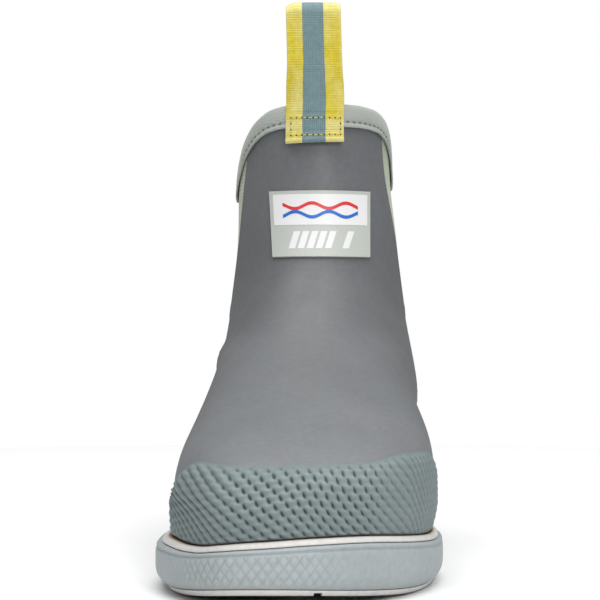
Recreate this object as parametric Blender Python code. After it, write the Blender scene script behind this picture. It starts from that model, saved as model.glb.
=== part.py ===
"""Left ankle deck boot, men's EU 42: rubber upper, two stretch gores, wrapped sole, webbing pull loops.

+Z is up, the toe points to -Y and the outer side of the foot is +X. The sole rests on Z = 0 and the origin
is under the middle of the boot's box. Shape functions work in millimetres, and meshes are made in metres.
A place on the upper is given by a turn and a height: turn 0 is the front line, 90 the outer side, 180 the
back line and -90 the inner side, in degrees.
"""

import math

import bmesh
import bpy
import numpy as np

MM = 0.001

# Driving dimensions, in millimetres
GAP = 0.3                # left between pieces that touch on the real boot
RUBBER = 2.0             # wall of the upper
LINING = 2.0             # wall of the lining
STIFFENER = 0.9          # toe puff and heel stiffener
OVERLAY = 1.4            # toe cap, heel guard and back stay
COLLAR_FRONT = 198.0     # top of the rubber at the front line
COLLAR_BACK = 187.5      # top of the rubber at the back line
SHAFT_X = 8.0            # the leg and heel stand to the outer side of the sole's middle
COLLAR_LEAN = -1.2       # the top of the leg leans back towards the inner side
TOE_TIP_X = -20.0        # the toe's foremost point is on the inner side
TOE_TIP_Y = -146.0
WIDEST_Z = 32.0          # height at which the foot part is widest
WELT_Z = 20.4            # where the upper meets the welt, at the ball
WELT_TOE_RISE = 4.6
WELT_HEEL_RISE = 9.0
TOE_SPRING = 6.0         # how far the sole's tip is off the ground
SOLE_HALF_LENGTH = 147.0
OUTSOLE = 5.0
OUTSOLE_EDGE = 2.3
CHEVRON_PITCH = 15.0
CHEVRON_SWEEP = 28.0     # degrees that a chevron's arms lean back
CHANNEL_WIDTH = 2.6
CHANNEL_DEPTH = 1.8
CHANNEL_MARGIN = 8.0     # channels end this far inside the sole's edge
DRAIN_WIDTH = 3.0
DRAIN_SHIFT = 6.0        # the middle channel runs to the outer side of the sole's middle
DRAIN_TOE_X = 6.5        # and leaves the sole here at the toe
BOARD_DROP = 7.0         # the insole board lies this far below the welt line
BOARD = 2.0
FOOTBED = 5.0
SHANK = 1.4
SHANK_WIDTH = 14.2
SHANK_DEPTH = 0.6        # the shank lies this far below the insole board
FOXING_LIP = 4.6         # how far the sidewall stands out from the upper
FOXING_BULGE = 5.8
INNER_FLARE = 0.33       # the sole stands out further on the inner side of the ball, by this share
WELT_STRIP = 2.3
COLLAR_COLUMNS_Z = 185.0 # height at which the grid's columns are shared out along the collar
GORE_BOTTOM = 104.0
GORE_CORNER = 7.0
GORE_REAR_TURN = 116.0
BINDING_DEPTH = 9.5
BINDING = 1.3
TOE_CAP_TOP = 51.0
TOE_CAP_TURN = 74.0
HEEL_GUARD_TOP = 64.0
HEEL_GUARD_SPREAD = 52.0
KICK_LEDGE = 4.0
BACK_STAY_WIDTH = 22.0
LABEL_SIZE = (43.4, 29.5)
LABEL_CENTRE = (9.1, 145.8)
WEBBING_WIDTH = 25.4
WEBBING = 1.4
STRAP_SEWN = 17.5        # length of webbing sewn below the collar's top
FRONT_STRAP_X = 6.0
REAR_STRAP_X = 9.5
LOOP_HEIGHT = 45.0       # top of a loop above the collar's top
AXIS_RISE = 6.5          # a loop's fold line above the collar's top
COLLAR_ROUNDING = 0.42   # sideways lean of the collar's wall beside a strap

# Depths from the outer face of the rubber
LINING_FACE = RUBBER + GAP
STIFFENER_FACE = RUBBER + GAP
STIFFENER_ROOM = STIFFENER + GAP
WALL = LINING_FACE + LINING
STRAP_OUTER = GAP + BINDING + GAP
STRAP_INNER = WALL + GAP + BINDING + GAP

# Grid of the upper: columns to each side of the front line, and rows below and above the gore's bottom
FRONT_STEPS = 11
GORE_STEPS = 6
REAR_STEPS = 7
HALF = FRONT_STEPS + GORE_STEPS + REAR_STEPS
LOWER_ROWS = 10
UPPER_ROWS = 6
ROW_CROWDING = 1.3       # rows lie closer together towards the toe box


def smooth_curve(points):
    """A smooth curve through (a, b) points that never overshoots, as a function from a to b."""
    a = np.array([p[0] for p in points], float)
    b = np.array([p[1] for p in points], float)
    step = np.diff(a)
    rise = np.diff(b) / step
    slope = np.zeros(len(a))
    slope[0] = rise[0]
    slope[-1] = rise[-1]
    for i in range(1, len(a) - 1):
        if rise[i - 1] * rise[i] > 0:
            before = 2 * step[i] + step[i - 1]
            after = step[i] + 2 * step[i - 1]
            slope[i] = (before + after) / (before / rise[i - 1] + after / rise[i])

    def curve(x):
        x = np.clip(np.asarray(x, float), a[0], a[-1])
        i = np.clip(np.searchsorted(a, x) - 1, 0, len(step) - 1)
        t = (x - a[i]) / step[i]
        start = (1 + 2 * t) * (1 - t) ** 2 * b[i] + t * (1 - t) ** 2 * step[i] * slope[i]
        end = t * t * (3 - 2 * t) * b[i + 1] + t * t * (t - 1) * step[i] * slope[i + 1]
        return start + end

    return curve


def smoothstep(x, low, high):
    t = np.clip((x - low) / (high - low), 0, 1)
    return t * t * (3 - 2 * t)


def smooth_max(a, b, blend):
    t = np.clip(0.5 + 0.5 * (a - b) / blend, 0, 1)
    return b + (a - b) * t + blend * t * (1 - t)


# The side view: where the front and back lines stand at each height
front_line = smooth_curve([(14, -141), (34, TOE_TIP_Y), (46, -140), (56, -122), (72, -70), (98, -14),
                           (132, 21), (175, 33.5), (215, 35.5)])
back_line = smooth_curve([(6, 141), (38, 147), (60, 144.5), (120, 138), (180, 144), (215, 147)])

# The top view: how far the outer and inner sides of the foot part stand out along its length
outer_side = smooth_curve([(-146, 49), (-100, 53), (-45, 54.6), (24, 46.5), (70, 44.5), (147, 44)])
inner_side = smooth_curve([(-146, -47), (-65, -50), (-30, -47.5), (24, -38.5), (60, -33.5), (105, -28.5),
                           (147, -28.5)])

# Half the width of the leg part at each height
leg_half_width = smooth_curve([(14, 37), (35, 38), (72, 44), (112, 39.2), (150, 36.6), (174, 35.2),
                               (215, 36)])

# The collar's top around the outer and the inner side, by turn
outer_collar = smooth_curve([(0, COLLAR_FRONT), (32, 197.8), (50, 196.6), (62, 193.2), (74, 186),
                             (86, 176.5), (98, 172), (115, 174.5), (143, 184), (158, 187),
                             (180, COLLAR_BACK)])
inner_collar = smooth_curve([(0, COLLAR_FRONT), (20, 197.4), (34, 196), (47, 192), (61, 184), (71, 176),
                             (84, 169), (96, 166.5), (115, 169.5), (143, 183), (158, 187),
                             (180, COLLAR_BACK)])

gore_front_turn = smooth_curve([(100, 88), (130, 76), (160, 66), (185, 59), (215, 55)])
# By turn: the welt dips on the inner side of the toe and rises a little on the outer side
welt_tilt = smooth_curve([(-95, 0), (-70, 0), (-58, -0.2), (-45, -0.8), (-33, -1.9), (-24, -2.1), (-12, -1.3),
                          (4, 0), (15, 1.1), (28, 1.7), (45, 0.8), (60, 0), (75, 0)])

RIDGE_HEIGHTS = np.linspace(34, 215, 400)
RIDGE_YS = front_line(RIDGE_HEIGHTS)


def ridge_x(y):
    """The middle of each cross-section, which leads from the toe's tip to the leg."""
    return np.interp(y, [TOE_TIP_Y, -60, 30], [TOE_TIP_X, -3, SHAFT_X])


def half_width(y, z, side):
    """How far the wall stands from the middle of its cross-section, on the outer (1) or inner (-1) side."""
    front = front_line(z)
    back = back_line(z)
    middle = (front + back) / 2
    half_length = (back - front) / 2
    leg = leg_half_width(z) * np.sqrt(np.clip(1 - ((y - middle) / half_length) ** 2, 0, 1))

    edge = np.where(side > 0, outer_side(y), -inner_side(y))
    toe_start = np.where(side > 0, -45.0, -72.0)
    toe_end = np.where(z < 34, front, TOE_TIP_Y)
    toe = np.clip((toe_start - y) / (toe_start - toe_end), 0, 1)
    heel = np.clip((y - (back - 42)) / 42, 0, 1)
    outline = np.sqrt(1 - toe ** 2.2) * np.sqrt(1 - heel ** 2.2)
    ridge = np.interp(y, RIDGE_YS, RIDGE_HEIGHTS, right=400)
    up = np.clip((z - WIDEST_Z) / (np.maximum(ridge, WIDEST_Z + 1) - WIDEST_Z), 0, 1)
    dome = np.sqrt(1 - up ** np.where(side > 0, 3.8, 2.9))
    tuck = 1 - np.where(side > 0, 0.0011, 0.0004) * np.clip(WIDEST_Z - z, 0, 40) ** 1.5
    foot = (edge - side * ridge_x(y)) * outline * dome * tuck
    fade = 1 - smoothstep(z, 85, 130)
    return smooth_max(foot * fade, leg, 5.0)


def upper_point(turn, z):
    """The outer face of the rubber at a turn and a height."""
    turn, z = np.broadcast_arrays(np.asarray(turn, float), np.asarray(z, float))
    front = front_line(z)
    back = back_line(z)
    y = (front + back) / 2 - (back - front) / 2 * np.cos(np.radians(turn))
    sine = np.sin(np.radians(turn))
    side = np.where(sine >= 0, 1.0, -1.0)
    wall = np.where(np.abs(sine) < 1e-9, 0.0, half_width(y, z, side))
    middle = ridge_x(y) + COLLAR_LEAN * smoothstep(z, 135, 172)
    return np.stack([middle + side * wall, y, z], axis=-1)


def upper_normal(turn, z):
    around = upper_point(turn + 0.6, z) - upper_point(turn - 0.6, z)
    upward = upper_point(turn, z + 0.6) - upper_point(turn, z - 0.6)
    normal = np.cross(around, upward)
    return normal / np.linalg.norm(normal, axis=-1, keepdims=True)


def offset_point(turn, z, offset):
    """A point at a distance outside the rubber's outer face, or inside it when negative."""
    turn, z = np.broadcast_arrays(np.asarray(turn, float), np.asarray(z, float))
    return upper_point(turn, z) + upper_normal(turn, z) * np.asarray(offset, float)[..., None]


def turn_at_x(x, z, rear=False):
    """The turn at which the front or the rear of the upper passes a given x, at one height."""
    turns = np.linspace(100, 260, 321) if rear else np.linspace(-80, 80, 321)
    xs = upper_point(turns, np.full_like(turns, z))[:, 0]
    return np.interp(-x, -xs, turns) if rear else np.interp(x, xs, turns)


def collar_height(turn):
    """Top of the rubber around the collar."""
    around = (np.asarray(turn, float) + 180) % 360 - 180
    return np.where(around >= 0, outer_collar(np.abs(around)), inner_collar(np.abs(around)))


def toe_lift(y):
    """How far the sole's underside is off the ground."""
    return TOE_SPRING * (np.clip(-80 - y, 0, None) / 68) ** 2


def sole_top(turn):
    """The top of the sole, level across the foot."""
    y = upper_point(turn, WELT_Z)[..., 1]
    toe = WELT_TOE_RISE * (np.clip(-60 - y, 0, None) / 82) ** 1.5
    return WELT_Z + toe + WELT_HEEL_RISE * smoothstep(y, -10, 110)


def welt_height(turn):
    """Where the upper meets the welt."""
    return sole_top(turn) + welt_tilt(turn)


def board_height(turn):
    """Underside of the insole board."""
    return sole_top(turn) - BOARD_DROP


def column_turn(column, z):
    """The turn of a grid column, which leans so that columns follow both edges of each gore."""
    column = np.asarray(column)
    front = gore_front_turn(z)
    on_front = front * column / FRONT_STEPS
    on_gore = front + (GORE_REAR_TURN - front) * (column - FRONT_STEPS) / GORE_STEPS
    on_rear = GORE_REAR_TURN + (180 - GORE_REAR_TURN) * (column - FRONT_STEPS - GORE_STEPS) / REAR_STEPS
    behind_front = np.where(column <= FRONT_STEPS + GORE_STEPS, on_gore, on_rear)
    return np.where(column <= FRONT_STEPS, on_front, behind_front)


def gore_floor(column):
    """Height of the row that forms the bottom of the gores, with rounded corners."""
    across = np.clip(np.abs((column - FRONT_STEPS) / GORE_STEPS * 2 - 1), 0, 1)
    return GORE_BOTTOM + GORE_CORNER * across ** 3


def both_sides(make):
    """A grid for the whole boot from make(side), which gives one side's columns from front to back."""
    return np.concatenate([make(1), make(-1)[HALF - 1:0:-1]])


def collar_edge(drop=0.0):
    """Turns and heights of the grid's columns where they pass a line parallel to the collar's top."""
    columns = np.arange(HALF + 1)

    def heights(side):
        return collar_height(side * column_turn(columns, COLLAR_COLUMNS_Z)) - drop

    def turns(side):
        return side * column_turn(columns, heights(side))

    return both_sides(turns), both_sides(heights)


def upper_grid():
    """Turns and heights of the grid that the upper, lining and stiffeners share, [column, row]."""
    columns = np.arange(HALF + 1)
    lower = (np.arange(LOWER_ROWS + 1) / LOWER_ROWS) ** ROW_CROWDING
    upper = np.arange(1, UPPER_ROWS + 1) / UPPER_ROWS
    floor = gore_floor(columns)

    def heights(side):
        low = board_height(side * column_turn(columns, WELT_Z))
        top = collar_height(side * column_turn(columns, COLLAR_COLUMNS_Z))
        return np.concatenate([
            low[:, None] + (floor - low)[:, None] * lower,
            floor[:, None] + (top - floor)[:, None] * upper,
        ], axis=1)

    def turns(side):
        return side * column_turn(columns[:, None], heights(side))

    return both_sides(turns), both_sides(heights)


def material(name, colour, roughness, metallic=0.0):
    made = bpy.data.materials.new(name)
    made.use_nodes = True
    shader = made.node_tree.nodes["Principled BSDF"]
    shader.inputs["Base Color"].default_value = (*colour, 1.0)
    shader.inputs["Roughness"].default_value = roughness
    shader.inputs["Metallic"].default_value = metallic
    return made


def object_from(name, points, faces, look, origin=(0.0, 0.0, 0.0), sharp=40.0):
    """Makes one object from points in millimetres and faces, with its normals facing out."""
    shift = np.array([CENTRE[0], CENTRE[1], 0.0]) + np.array(origin)
    mesh = bpy.data.meshes.new(name)
    mesh.from_pydata([tuple(p) for p in (np.asarray(points) - shift) * MM], [], faces)
    work = bmesh.new()
    work.from_mesh(mesh)
    bmesh.ops.delete(work, geom=[v for v in work.verts if not v.link_faces], context="VERTS")
    bmesh.ops.recalc_face_normals(work, faces=work.faces)
    work.to_mesh(mesh)
    work.free()
    mesh.materials.append(look)
    mesh.shade_smooth()
    mesh.set_sharp_from_angle(angle=math.radians(sharp))
    made = bpy.data.objects.new(name, mesh)
    made.location = [c * MM for c in origin]
    bpy.context.scene.collection.objects.link(made)
    made.parent = BOOT
    return made


def halves(corners):
    """Both triangles of a four-cornered face, split the same way on every layer so that none cross."""
    a, b, c, d = corners
    return [[a, b, c], [a, c, d]]


def solid_between(name, outer, inner, look, around=False, cells=None, **options):
    """A closed solid between two grids of points, [column, row], over all cells or those marked."""
    columns, rows = outer.shape[:2]
    wide = columns if around else columns - 1
    if cells is None:
        cells = np.ones((wide, rows - 1), bool)

    def at(column, row, layer):
        return layer * columns * rows + (column % columns) * rows + row

    def inside(column, row):
        if around:
            column %= columns
        return 0 <= column < wide and 0 <= row < rows - 1 and cells[column, row]

    faces = []
    for i in range(wide):
        for j in range(rows - 1):
            if not cells[i, j]:
                continue
            corners = [(i, j), (i + 1, j), (i + 1, j + 1), (i, j + 1)]
            faces += halves([at(*c, 0) for c in corners])
            faces += halves([at(*c, 1) for c in corners])
            neighbours = [(i, j - 1), (i + 1, j), (i, j + 1), (i - 1, j)]
            for k, neighbour in enumerate(neighbours):
                if not inside(*neighbour):
                    a = corners[k]
                    b = corners[(k + 1) % 4]
                    faces.append([at(*a, 0), at(*a, 1), at(*b, 1), at(*b, 0)])
    points = np.concatenate([outer.reshape(-1, 3), inner.reshape(-1, 3)])
    return object_from(name, points, faces, look, **options)


def lofted(name, rings, look, **options):
    """A closed solid through rings of points. The first and last are closed by strips across the foot."""
    rings = np.array(rings)
    count, size = rings.shape[:2]
    faces = []
    for k in range(count - 1):
        for i in range(size):
            j = (i + 1) % size
            faces += halves([k * size + i, k * size + j, (k + 1) * size + j, (k + 1) * size + i])
    for start in (0, (count - 1) * size):
        for i in range(size // 2):
            corners = [start + i, start + i + 1, start + (size - i - 1) % size, start + (size - i) % size]
            faces.append(list(dict.fromkeys(corners)))
    return object_from(name, rings.reshape(-1, 3), faces, look, **options)


def swept(name, rings, look, **options):
    """A closed band: rings of points joined one to the next, and the last to the first."""
    rings = np.array(rings)
    count, size = rings.shape[:2]
    faces = []
    for k in range(count):
        n = (k + 1) % count
        for i in range(size):
            j = (i + 1) % size
            faces += halves([k * size + i, k * size + j, n * size + j, n * size + i])
    return object_from(name, rings.reshape(-1, 3), faces, look, **options)


def sole_ring(offset, z, shape_z=None):
    """An outline of the upper at shape_z, moved outwards level by offset and set at height z."""
    turns = SOLE_TURNS
    shape = np.broadcast_to(welt_height(turns) if shape_z is None else shape_z, turns.shape)
    base = upper_point(turns, shape)
    normal = upper_normal(turns, shape)
    level = normal[:, :2] / np.linalg.norm(normal[:, :2], axis=1, keepdims=True)
    at_inner_ball = smoothstep(-base[:, 0], 10, 45) * (1 - smoothstep(np.abs(base[:, 1] + 65), 30, 90))
    reach = offset * (1 + INNER_FLARE * at_inner_ball) if offset > 0 else offset
    flat = base[:, :2] + level * np.broadcast_to(reach, turns.shape)[:, None]
    return np.column_stack([flat, np.broadcast_to(z, turns.shape)])


def cut(target, cutter):
    """Takes a cutter's volume away from an object."""
    cutter.hide_render = True
    cutter.display_type = "WIRE"
    modifier = target.modifiers.new(cutter.name, "BOOLEAN")
    modifier.operation = "DIFFERENCE"
    modifier.object = cutter


def bar(name, centre_line, width, bottom, top, look):
    """A flat bar along a line of (x, y) points in the ground plane; bottom and top are functions of y."""
    line = np.array(centre_line, float)
    along = np.gradient(line, axis=0)
    along /= np.linalg.norm(along, axis=1, keepdims=True)
    across = np.column_stack([along[:, 1], -along[:, 0]]) * width / 2
    sides = np.stack([line - across, line + across])
    upper = np.concatenate([sides, top(sides[..., 1])[..., None]], axis=-1)
    lower = np.concatenate([sides, bottom(sides[..., 1])[..., None]], axis=-1)
    return solid_between(name, upper, lower, look)


def sole_turn(y):
    """The turn, to either side, at which the sole's edge passes a given y."""
    return np.degrees(np.arccos(-np.asarray(y) / SOLE_HALF_LENGTH))


def make_outsole():
    lift = toe_lift(sole_ring(0, 0)[:, 1])
    outsole = lofted("outsole", [
        sole_ring(-0.4, lift),
        sole_ring(1.5, lift + 0.9),
        sole_ring(2.0, lift + OUTSOLE_EDGE),
        sole_ring(-GAP, lift + OUTSOLE_EDGE),
        sole_ring(-GAP, lift + OUTSOLE),
    ], CREAM)
    make_tread(outsole)


def make_tread(outsole):
    """Chevron channels that stop short of the edge, and a middle channel that drains at the toe."""
    sweep = math.tan(math.radians(CHEVRON_SWEEP))

    def drain_x(y):
        return float(np.interp(y, [-130, -60, 30], [DRAIN_TOE_X, 4.5, SHAFT_X + DRAIN_SHIFT]))

    def channel_top(y):
        return toe_lift(y) + CHANNEL_DEPTH

    def below_ground(y):
        return np.full_like(y, -3.0)

    for number, apex in enumerate(np.arange(-118, 122, CHEVRON_PITCH)):
        middle = drain_x(apex)
        line = [(middle, apex)]
        for side in (-1, 1):
            edge = float(upper_point(side * sole_turn(apex), WELT_Z)[0])
            reach = max(abs(edge - middle) - CHANNEL_MARGIN, CHANNEL_MARGIN)
            line.insert(0 if side < 0 else 2, (middle + side * reach, apex + reach * sweep))
        cutter = bar(f"chevron_cutter_{number}", line, CHANNEL_WIDTH, below_ground, channel_top, CREAM)
        cut(outsole, cutter)

    drain = [(drain_x(y), y) for y in (-160, -130, -110, -90, -60, -20, 30, 80, 118)]
    drain_top = CHANNEL_DEPTH - 0.5
    cutter = bar("drain_cutter", drain, DRAIN_WIDTH, below_ground, lambda y: toe_lift(y) + drain_top, CREAM)
    cut(outsole, cutter)


def make_midsole():
    lift = toe_lift(sole_ring(0, 0)[:, 1])
    floor = board_height(SOLE_TURNS) - GAP
    core = lofted("midsole_core", [
        sole_ring(-GAP, lift + OUTSOLE + GAP),
        sole_ring(-GAP, floor),
    ], FOAM)

    ys = np.linspace(-14, 84, 9)
    line = [(float(ridge_x(y)) + 1.0, float(y)) for y in ys]
    longer = [(line[0][0], line[0][1] - 0.5), *line[1:-1], (line[-1][0], line[-1][1] + 0.5)]

    def below_board(depth):
        return lambda y: np.interp(y, ys, board_height(sole_turn(ys))) - depth

    underside = SHANK_DEPTH + SHANK
    cut(core, bar("shank_pocket_cutter", longer, SHANK_WIDTH + 0.8, below_board(underside + 0.4),
                  below_board(-2.0), FOAM))
    bar("shank", line, SHANK_WIDTH, below_board(underside), below_board(SHANK_DEPTH), STEEL)


def make_foxing():
    lift = toe_lift(sole_ring(0, 0)[:, 1])
    bottom = lift + OUTSOLE_EDGE + GAP
    top = welt_height(SOLE_TURNS) - WELT_STRIP - GAP
    swept("foxing_tape", [
        sole_ring(2 * GAP, bottom),
        sole_ring(2.4, bottom),
        sole_ring(4.6, bottom + 2.6),
        sole_ring(FOXING_BULGE, bottom + 6.0),
        sole_ring(FOXING_BULGE, top - 3.0),
        sole_ring(FOXING_LIP + 0.7, top - 0.8),
        sole_ring(FOXING_LIP, top),
        sole_ring(2 * GAP, top),
    ], FOXING)
    swept("welt_strip", [
        sole_ring(2 * GAP, top + GAP),
        sole_ring(FOXING_LIP - 1.0, top + GAP),
        sole_ring(FOXING_LIP - 1.4, top + GAP + WELT_STRIP * 0.4),
        sole_ring(1.8, top + GAP + WELT_STRIP - 0.4),
        sole_ring(2 * GAP, top + GAP + WELT_STRIP - 0.1),
    ], CREAM)


def make_insoles():
    board = board_height(SOLE_TURNS)
    lofted("insole_board", [
        sole_ring(-LINING_FACE - 0.2, board, board),
        sole_ring(-LINING_FACE - 0.2, board + BOARD, board),
    ], BOARD_LOOK)
    bed = board + BOARD + GAP + 1.5 + GAP
    edge = -(WALL + STIFFENER_ROOM + 3 * GAP)
    cup = 5.0 * smoothstep(sole_ring(0, 0)[:, 1], -20, 60)
    lofted("footbed", [
        sole_ring(edge - 1.5, bed, board + BOARD),
        sole_ring(edge, bed + 2.0, board + BOARD),
        sole_ring(edge, bed + FOOTBED + cup - 1.0, board + BOARD),
        sole_ring(edge - 1.2, bed + FOOTBED + cup, board + BOARD),
        sole_ring(edge - 9.0, bed + FOOTBED, board + BOARD),
    ], FOOTBED_LOOK)


def stiffener_cells(rows, toe):
    """Cells of the grid that the toe puff or the heel stiffener covers."""
    cells = np.zeros((2 * HALF, LOWER_ROWS + UPPER_ROWS), bool)
    reach = 6 if toe else 5
    middle = 0 if toe else HALF
    for step in range(-reach, reach):
        cells[(middle + step) % (2 * HALF), 1:rows] = True
    return cells


def make_upper():
    turns, heights = upper_grid()
    gore_rows = slice(LOWER_ROWS, LOWER_ROWS + UPPER_ROWS)
    cells = np.ones((2 * HALF, LOWER_ROWS + UPPER_ROWS), bool)
    cells[FRONT_STEPS:FRONT_STEPS + GORE_STEPS, gore_rows] = False
    cells[HALF + REAR_STEPS:HALF + REAR_STEPS + GORE_STEPS, gore_rows] = False
    face = offset_point(turns, heights, np.zeros_like(turns))
    back = offset_point(turns, heights, np.full_like(turns, -RUBBER))
    solid_between("upper_shell", face, back, RUBBER_LOOK, around=True, cells=cells)

    toe = stiffener_cells(6, True)
    heel = stiffener_cells(8, False)
    for name, chosen in (("toe_puff", toe), ("heel_stiffener", heel)):
        outer = offset_point(turns, heights, np.full_like(turns, -STIFFENER_FACE))
        inner = offset_point(turns, heights, np.full_like(turns, -STIFFENER_FACE - STIFFENER))
        solid_between(name, outer, inner, STIFFENER_LOOK, around=True, cells=chosen)

    room = np.zeros_like(turns)
    for chosen in (toe, heel):
        for column, row in zip(*np.nonzero(chosen)):
            for i in (column - 1, column, column + 1, column + 2):
                room[i % (2 * HALF), max(row - 1, 0):row + 3] = STIFFENER_ROOM
    sole = heights[:, 0] + BOARD + GAP
    sock = heights.copy()
    sock[:, 0] = sole
    outer = offset_point(turns, sock, -LINING_FACE - room)
    outer[:, 0] = offset_point(turns[:, 0], sole, -LINING_FACE - room[:, 0] - GAP)
    outer[:, 0, 2] = sole
    sock[:, 0] = sole + 1.5
    inner = offset_point(turns, sock, -WALL - room)
    inner[:, 0, 2] = sole + 1.5
    rings = [outer[:, row] for row in range(outer.shape[1])]
    rings += [inner[:, row] for row in reversed(range(inner.shape[1]))]
    lofted("bootie_lining", rings, LINING_LOOK)


def make_gore(name, side):
    steps = np.arange(GORE_STEPS + 1) / GORE_STEPS
    column = FRONT_STEPS + steps * GORE_STEPS
    floor = gore_floor(column) + 0.5
    top = collar_height(side * column_turn(column, COLLAR_COLUMNS_Z)) - 1.0
    rise = np.arange(UPPER_ROWS + 1) / UPPER_ROWS
    heights = floor[:, None] + (top - floor)[:, None] * rise
    front = gore_front_turn(heights) + 0.6
    rear = GORE_REAR_TURN - 0.6
    turns = side * (front + (rear - front) * steps[:, None])
    outer = offset_point(turns, heights, np.full_like(turns, -GAP))
    inner = offset_point(turns, heights, np.full_like(turns, -RUBBER))
    solid_between(name, outer, inner, GORE_LOOK)


def make_binding():
    out = GAP + BINDING
    inside = -WALL - GAP
    section = [
        (GAP, BINDING_DEPTH), (out, BINDING_DEPTH), (out, 0.3), (0.8, -1.2), (-0.6, -out),
        (inside + 0.8, -out),
        (inside - 0.5, -1.2), (inside - BINDING, 0.3), (inside - BINDING, BINDING_DEPTH),
        (inside, BINDING_DEPTH), (inside, -GAP), (GAP, -GAP),
    ]
    rings = []
    for offset, drop in section:
        below = max(drop, 0.0)
        turns, heights = collar_edge(below)
        ring = offset_point(turns, heights, np.full_like(turns, offset))
        ring[:, 2] += below - drop
        rings.append(ring)
    swept("collar_binding", rings, BINDING_LOOK)


def make_toe_cap():
    turns = np.linspace(-TOE_CAP_TURN + 2, TOE_CAP_TURN - 2, 29)
    low = welt_height(turns) + 2 * GAP
    rise = np.sqrt(1 - (np.abs(turns) / TOE_CAP_TURN) ** 8)
    high = low + (TOE_CAP_TOP - low) * rise
    heights = low[:, None] + (high - low)[:, None] * np.linspace(0, 1, 7)
    around = np.broadcast_to(turns[:, None], heights.shape)
    near = np.full_like(heights, 1.3 * GAP)
    outer = offset_point(around, heights, near + OVERLAY)
    solid_between("toe_cap", outer, offset_point(around, heights, near), TEAL)


def make_heel_guard():
    turns = 180 + np.linspace(-HEEL_GUARD_SPREAD + 2, HEEL_GUARD_SPREAD - 2, 17)
    low = welt_height(turns) + 2 * GAP
    rise = np.sqrt(1 - (np.abs(turns - 180) / HEEL_GUARD_SPREAD) ** 4)
    high = low + (HEEL_GUARD_TOP - low) * rise
    share = np.array([0, 0.25, 0.5, 0.7, 0.82, 0.9, 1.0])
    ledge_shape = np.array([0, 0, 0, 0.1, 0.85, 1.0, 0.8])
    heights = low[:, None] + (high - low)[:, None] * share
    around = np.broadcast_to(turns[:, None], heights.shape)
    ledge = KICK_LEDGE * np.cos(np.radians((turns - 180) * 1.6)) ** 2
    outward = GAP + OVERLAY + ledge[:, None] * ledge_shape
    inner = offset_point(around, heights, np.full_like(heights, 1.5 * GAP))
    solid_between("heel_guard", offset_point(around, heights, outward), inner, TEAL)


def surface_patch(name, xs, zs, near, far, look, rear=False, shear=0.0):
    """A rectangular patch seen from the front or the rear, lying between two distances from the rubber."""
    turns = np.zeros((len(xs), len(zs)))
    heights = np.zeros((len(xs), len(zs)))
    for j, z in enumerate(zs):
        heights[:, j] = z
        shifted = np.array(xs) + shear * (np.mean(zs) - z)
        turns[:, j] = turn_at_x(shifted, z, rear)
    if rear:
        turns = turns[::-1]
    outer = offset_point(turns, heights, np.full_like(turns, far))
    inner = offset_point(turns, heights, np.full_like(turns, near))
    return solid_between(name, outer, inner, look)


def make_label():
    width, height = LABEL_SIZE
    x, z = LABEL_CENTRE
    xs = x + np.linspace(-width / 2, width / 2, 13)
    zs = z + np.linspace(-height / 2, height / 2, 5)
    surface_patch("label_patch", xs, zs, 2 * GAP, 2 * GAP + 0.7, LABEL_LOOK, shear=0.022)


def make_back_stay():
    xs = REAR_STRAP_X + np.linspace(-BACK_STAY_WIDTH / 2, BACK_STAY_WIDTH / 2, 7)
    top = float(collar_height(150)) - BINDING_DEPTH - 1.5
    zs = np.linspace(HEEL_GUARD_TOP + 1.0, top, 9)
    surface_patch("back_stay", xs, zs, GAP, GAP + 1.0, RUBBER_LOOK, rear=True)


def make_strap(which, x, turn, rear):
    """One pull strap: two ends sewn to the collar, and the free loop, which folds about a level line."""
    collar_top = float(collar_height(turn)) + GAP + BINDING
    sewn_from = collar_top - STRAP_SEWN
    zs = np.linspace(sewn_from, collar_top + 0.7, 4)
    for place, near in (("outer", STRAP_OUTER), ("inner", -STRAP_INNER - WEBBING)):
        reach = WEBBING_WIDTH / 2 - COLLAR_ROUNDING * (near + WEBBING / 2)
        xs = x + np.linspace(-reach, reach, 7)
        surface_patch(f"{which}_strap_{place}_end", xs, zs, near, near + WEBBING, WEBBING_LOOK, rear=rear)

    out = 1 if rear else -1
    wall_y = float((back_line if rear else front_line)(collar_top))
    spread = (STRAP_OUTER + STRAP_INNER + WEBBING) / 2
    axis_y = wall_y + out * (STRAP_OUTER - STRAP_INNER) / 2
    axis_z = collar_top + AXIS_RISE
    leg = collar_top + LOOP_HEIGHT - WEBBING / 2 - spread - axis_z
    bend = np.linspace(0, math.pi, 9)
    path = [(spread, 0.0), (spread, leg / 2)]
    path += [(spread * math.cos(a), leg + spread * math.sin(a)) for a in bend]
    path += [(-spread, leg / 2), (-spread, 0.0)]
    path = np.array(path)
    facing = np.array([(1.0, 0.0)] * 2 + [(math.cos(a), math.sin(a)) for a in bend] + [(-1.0, 0.0)] * 2)

    def layer(distance):
        shifted = path + facing * distance
        grid = np.zeros((2, len(path), 3))
        grid[:, :, 0] = [[x - WEBBING_WIDTH / 2], [x + WEBBING_WIDTH / 2]]
        grid[:, :, 1] = axis_y + out * shifted[:, 0]
        grid[:, :, 2] = axis_z + shifted[:, 1]
        return grid

    axis = (x - CENTRE[0], axis_y - CENTRE[1], axis_z)
    solid_between(f"{which}_pull_loop", layer(WEBBING / 2), layer(-WEBBING / 2), WEBBING_LOOK, origin=axis)


for old in list(bpy.data.objects):
    bpy.data.objects.remove(old, do_unlink=True)

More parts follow.
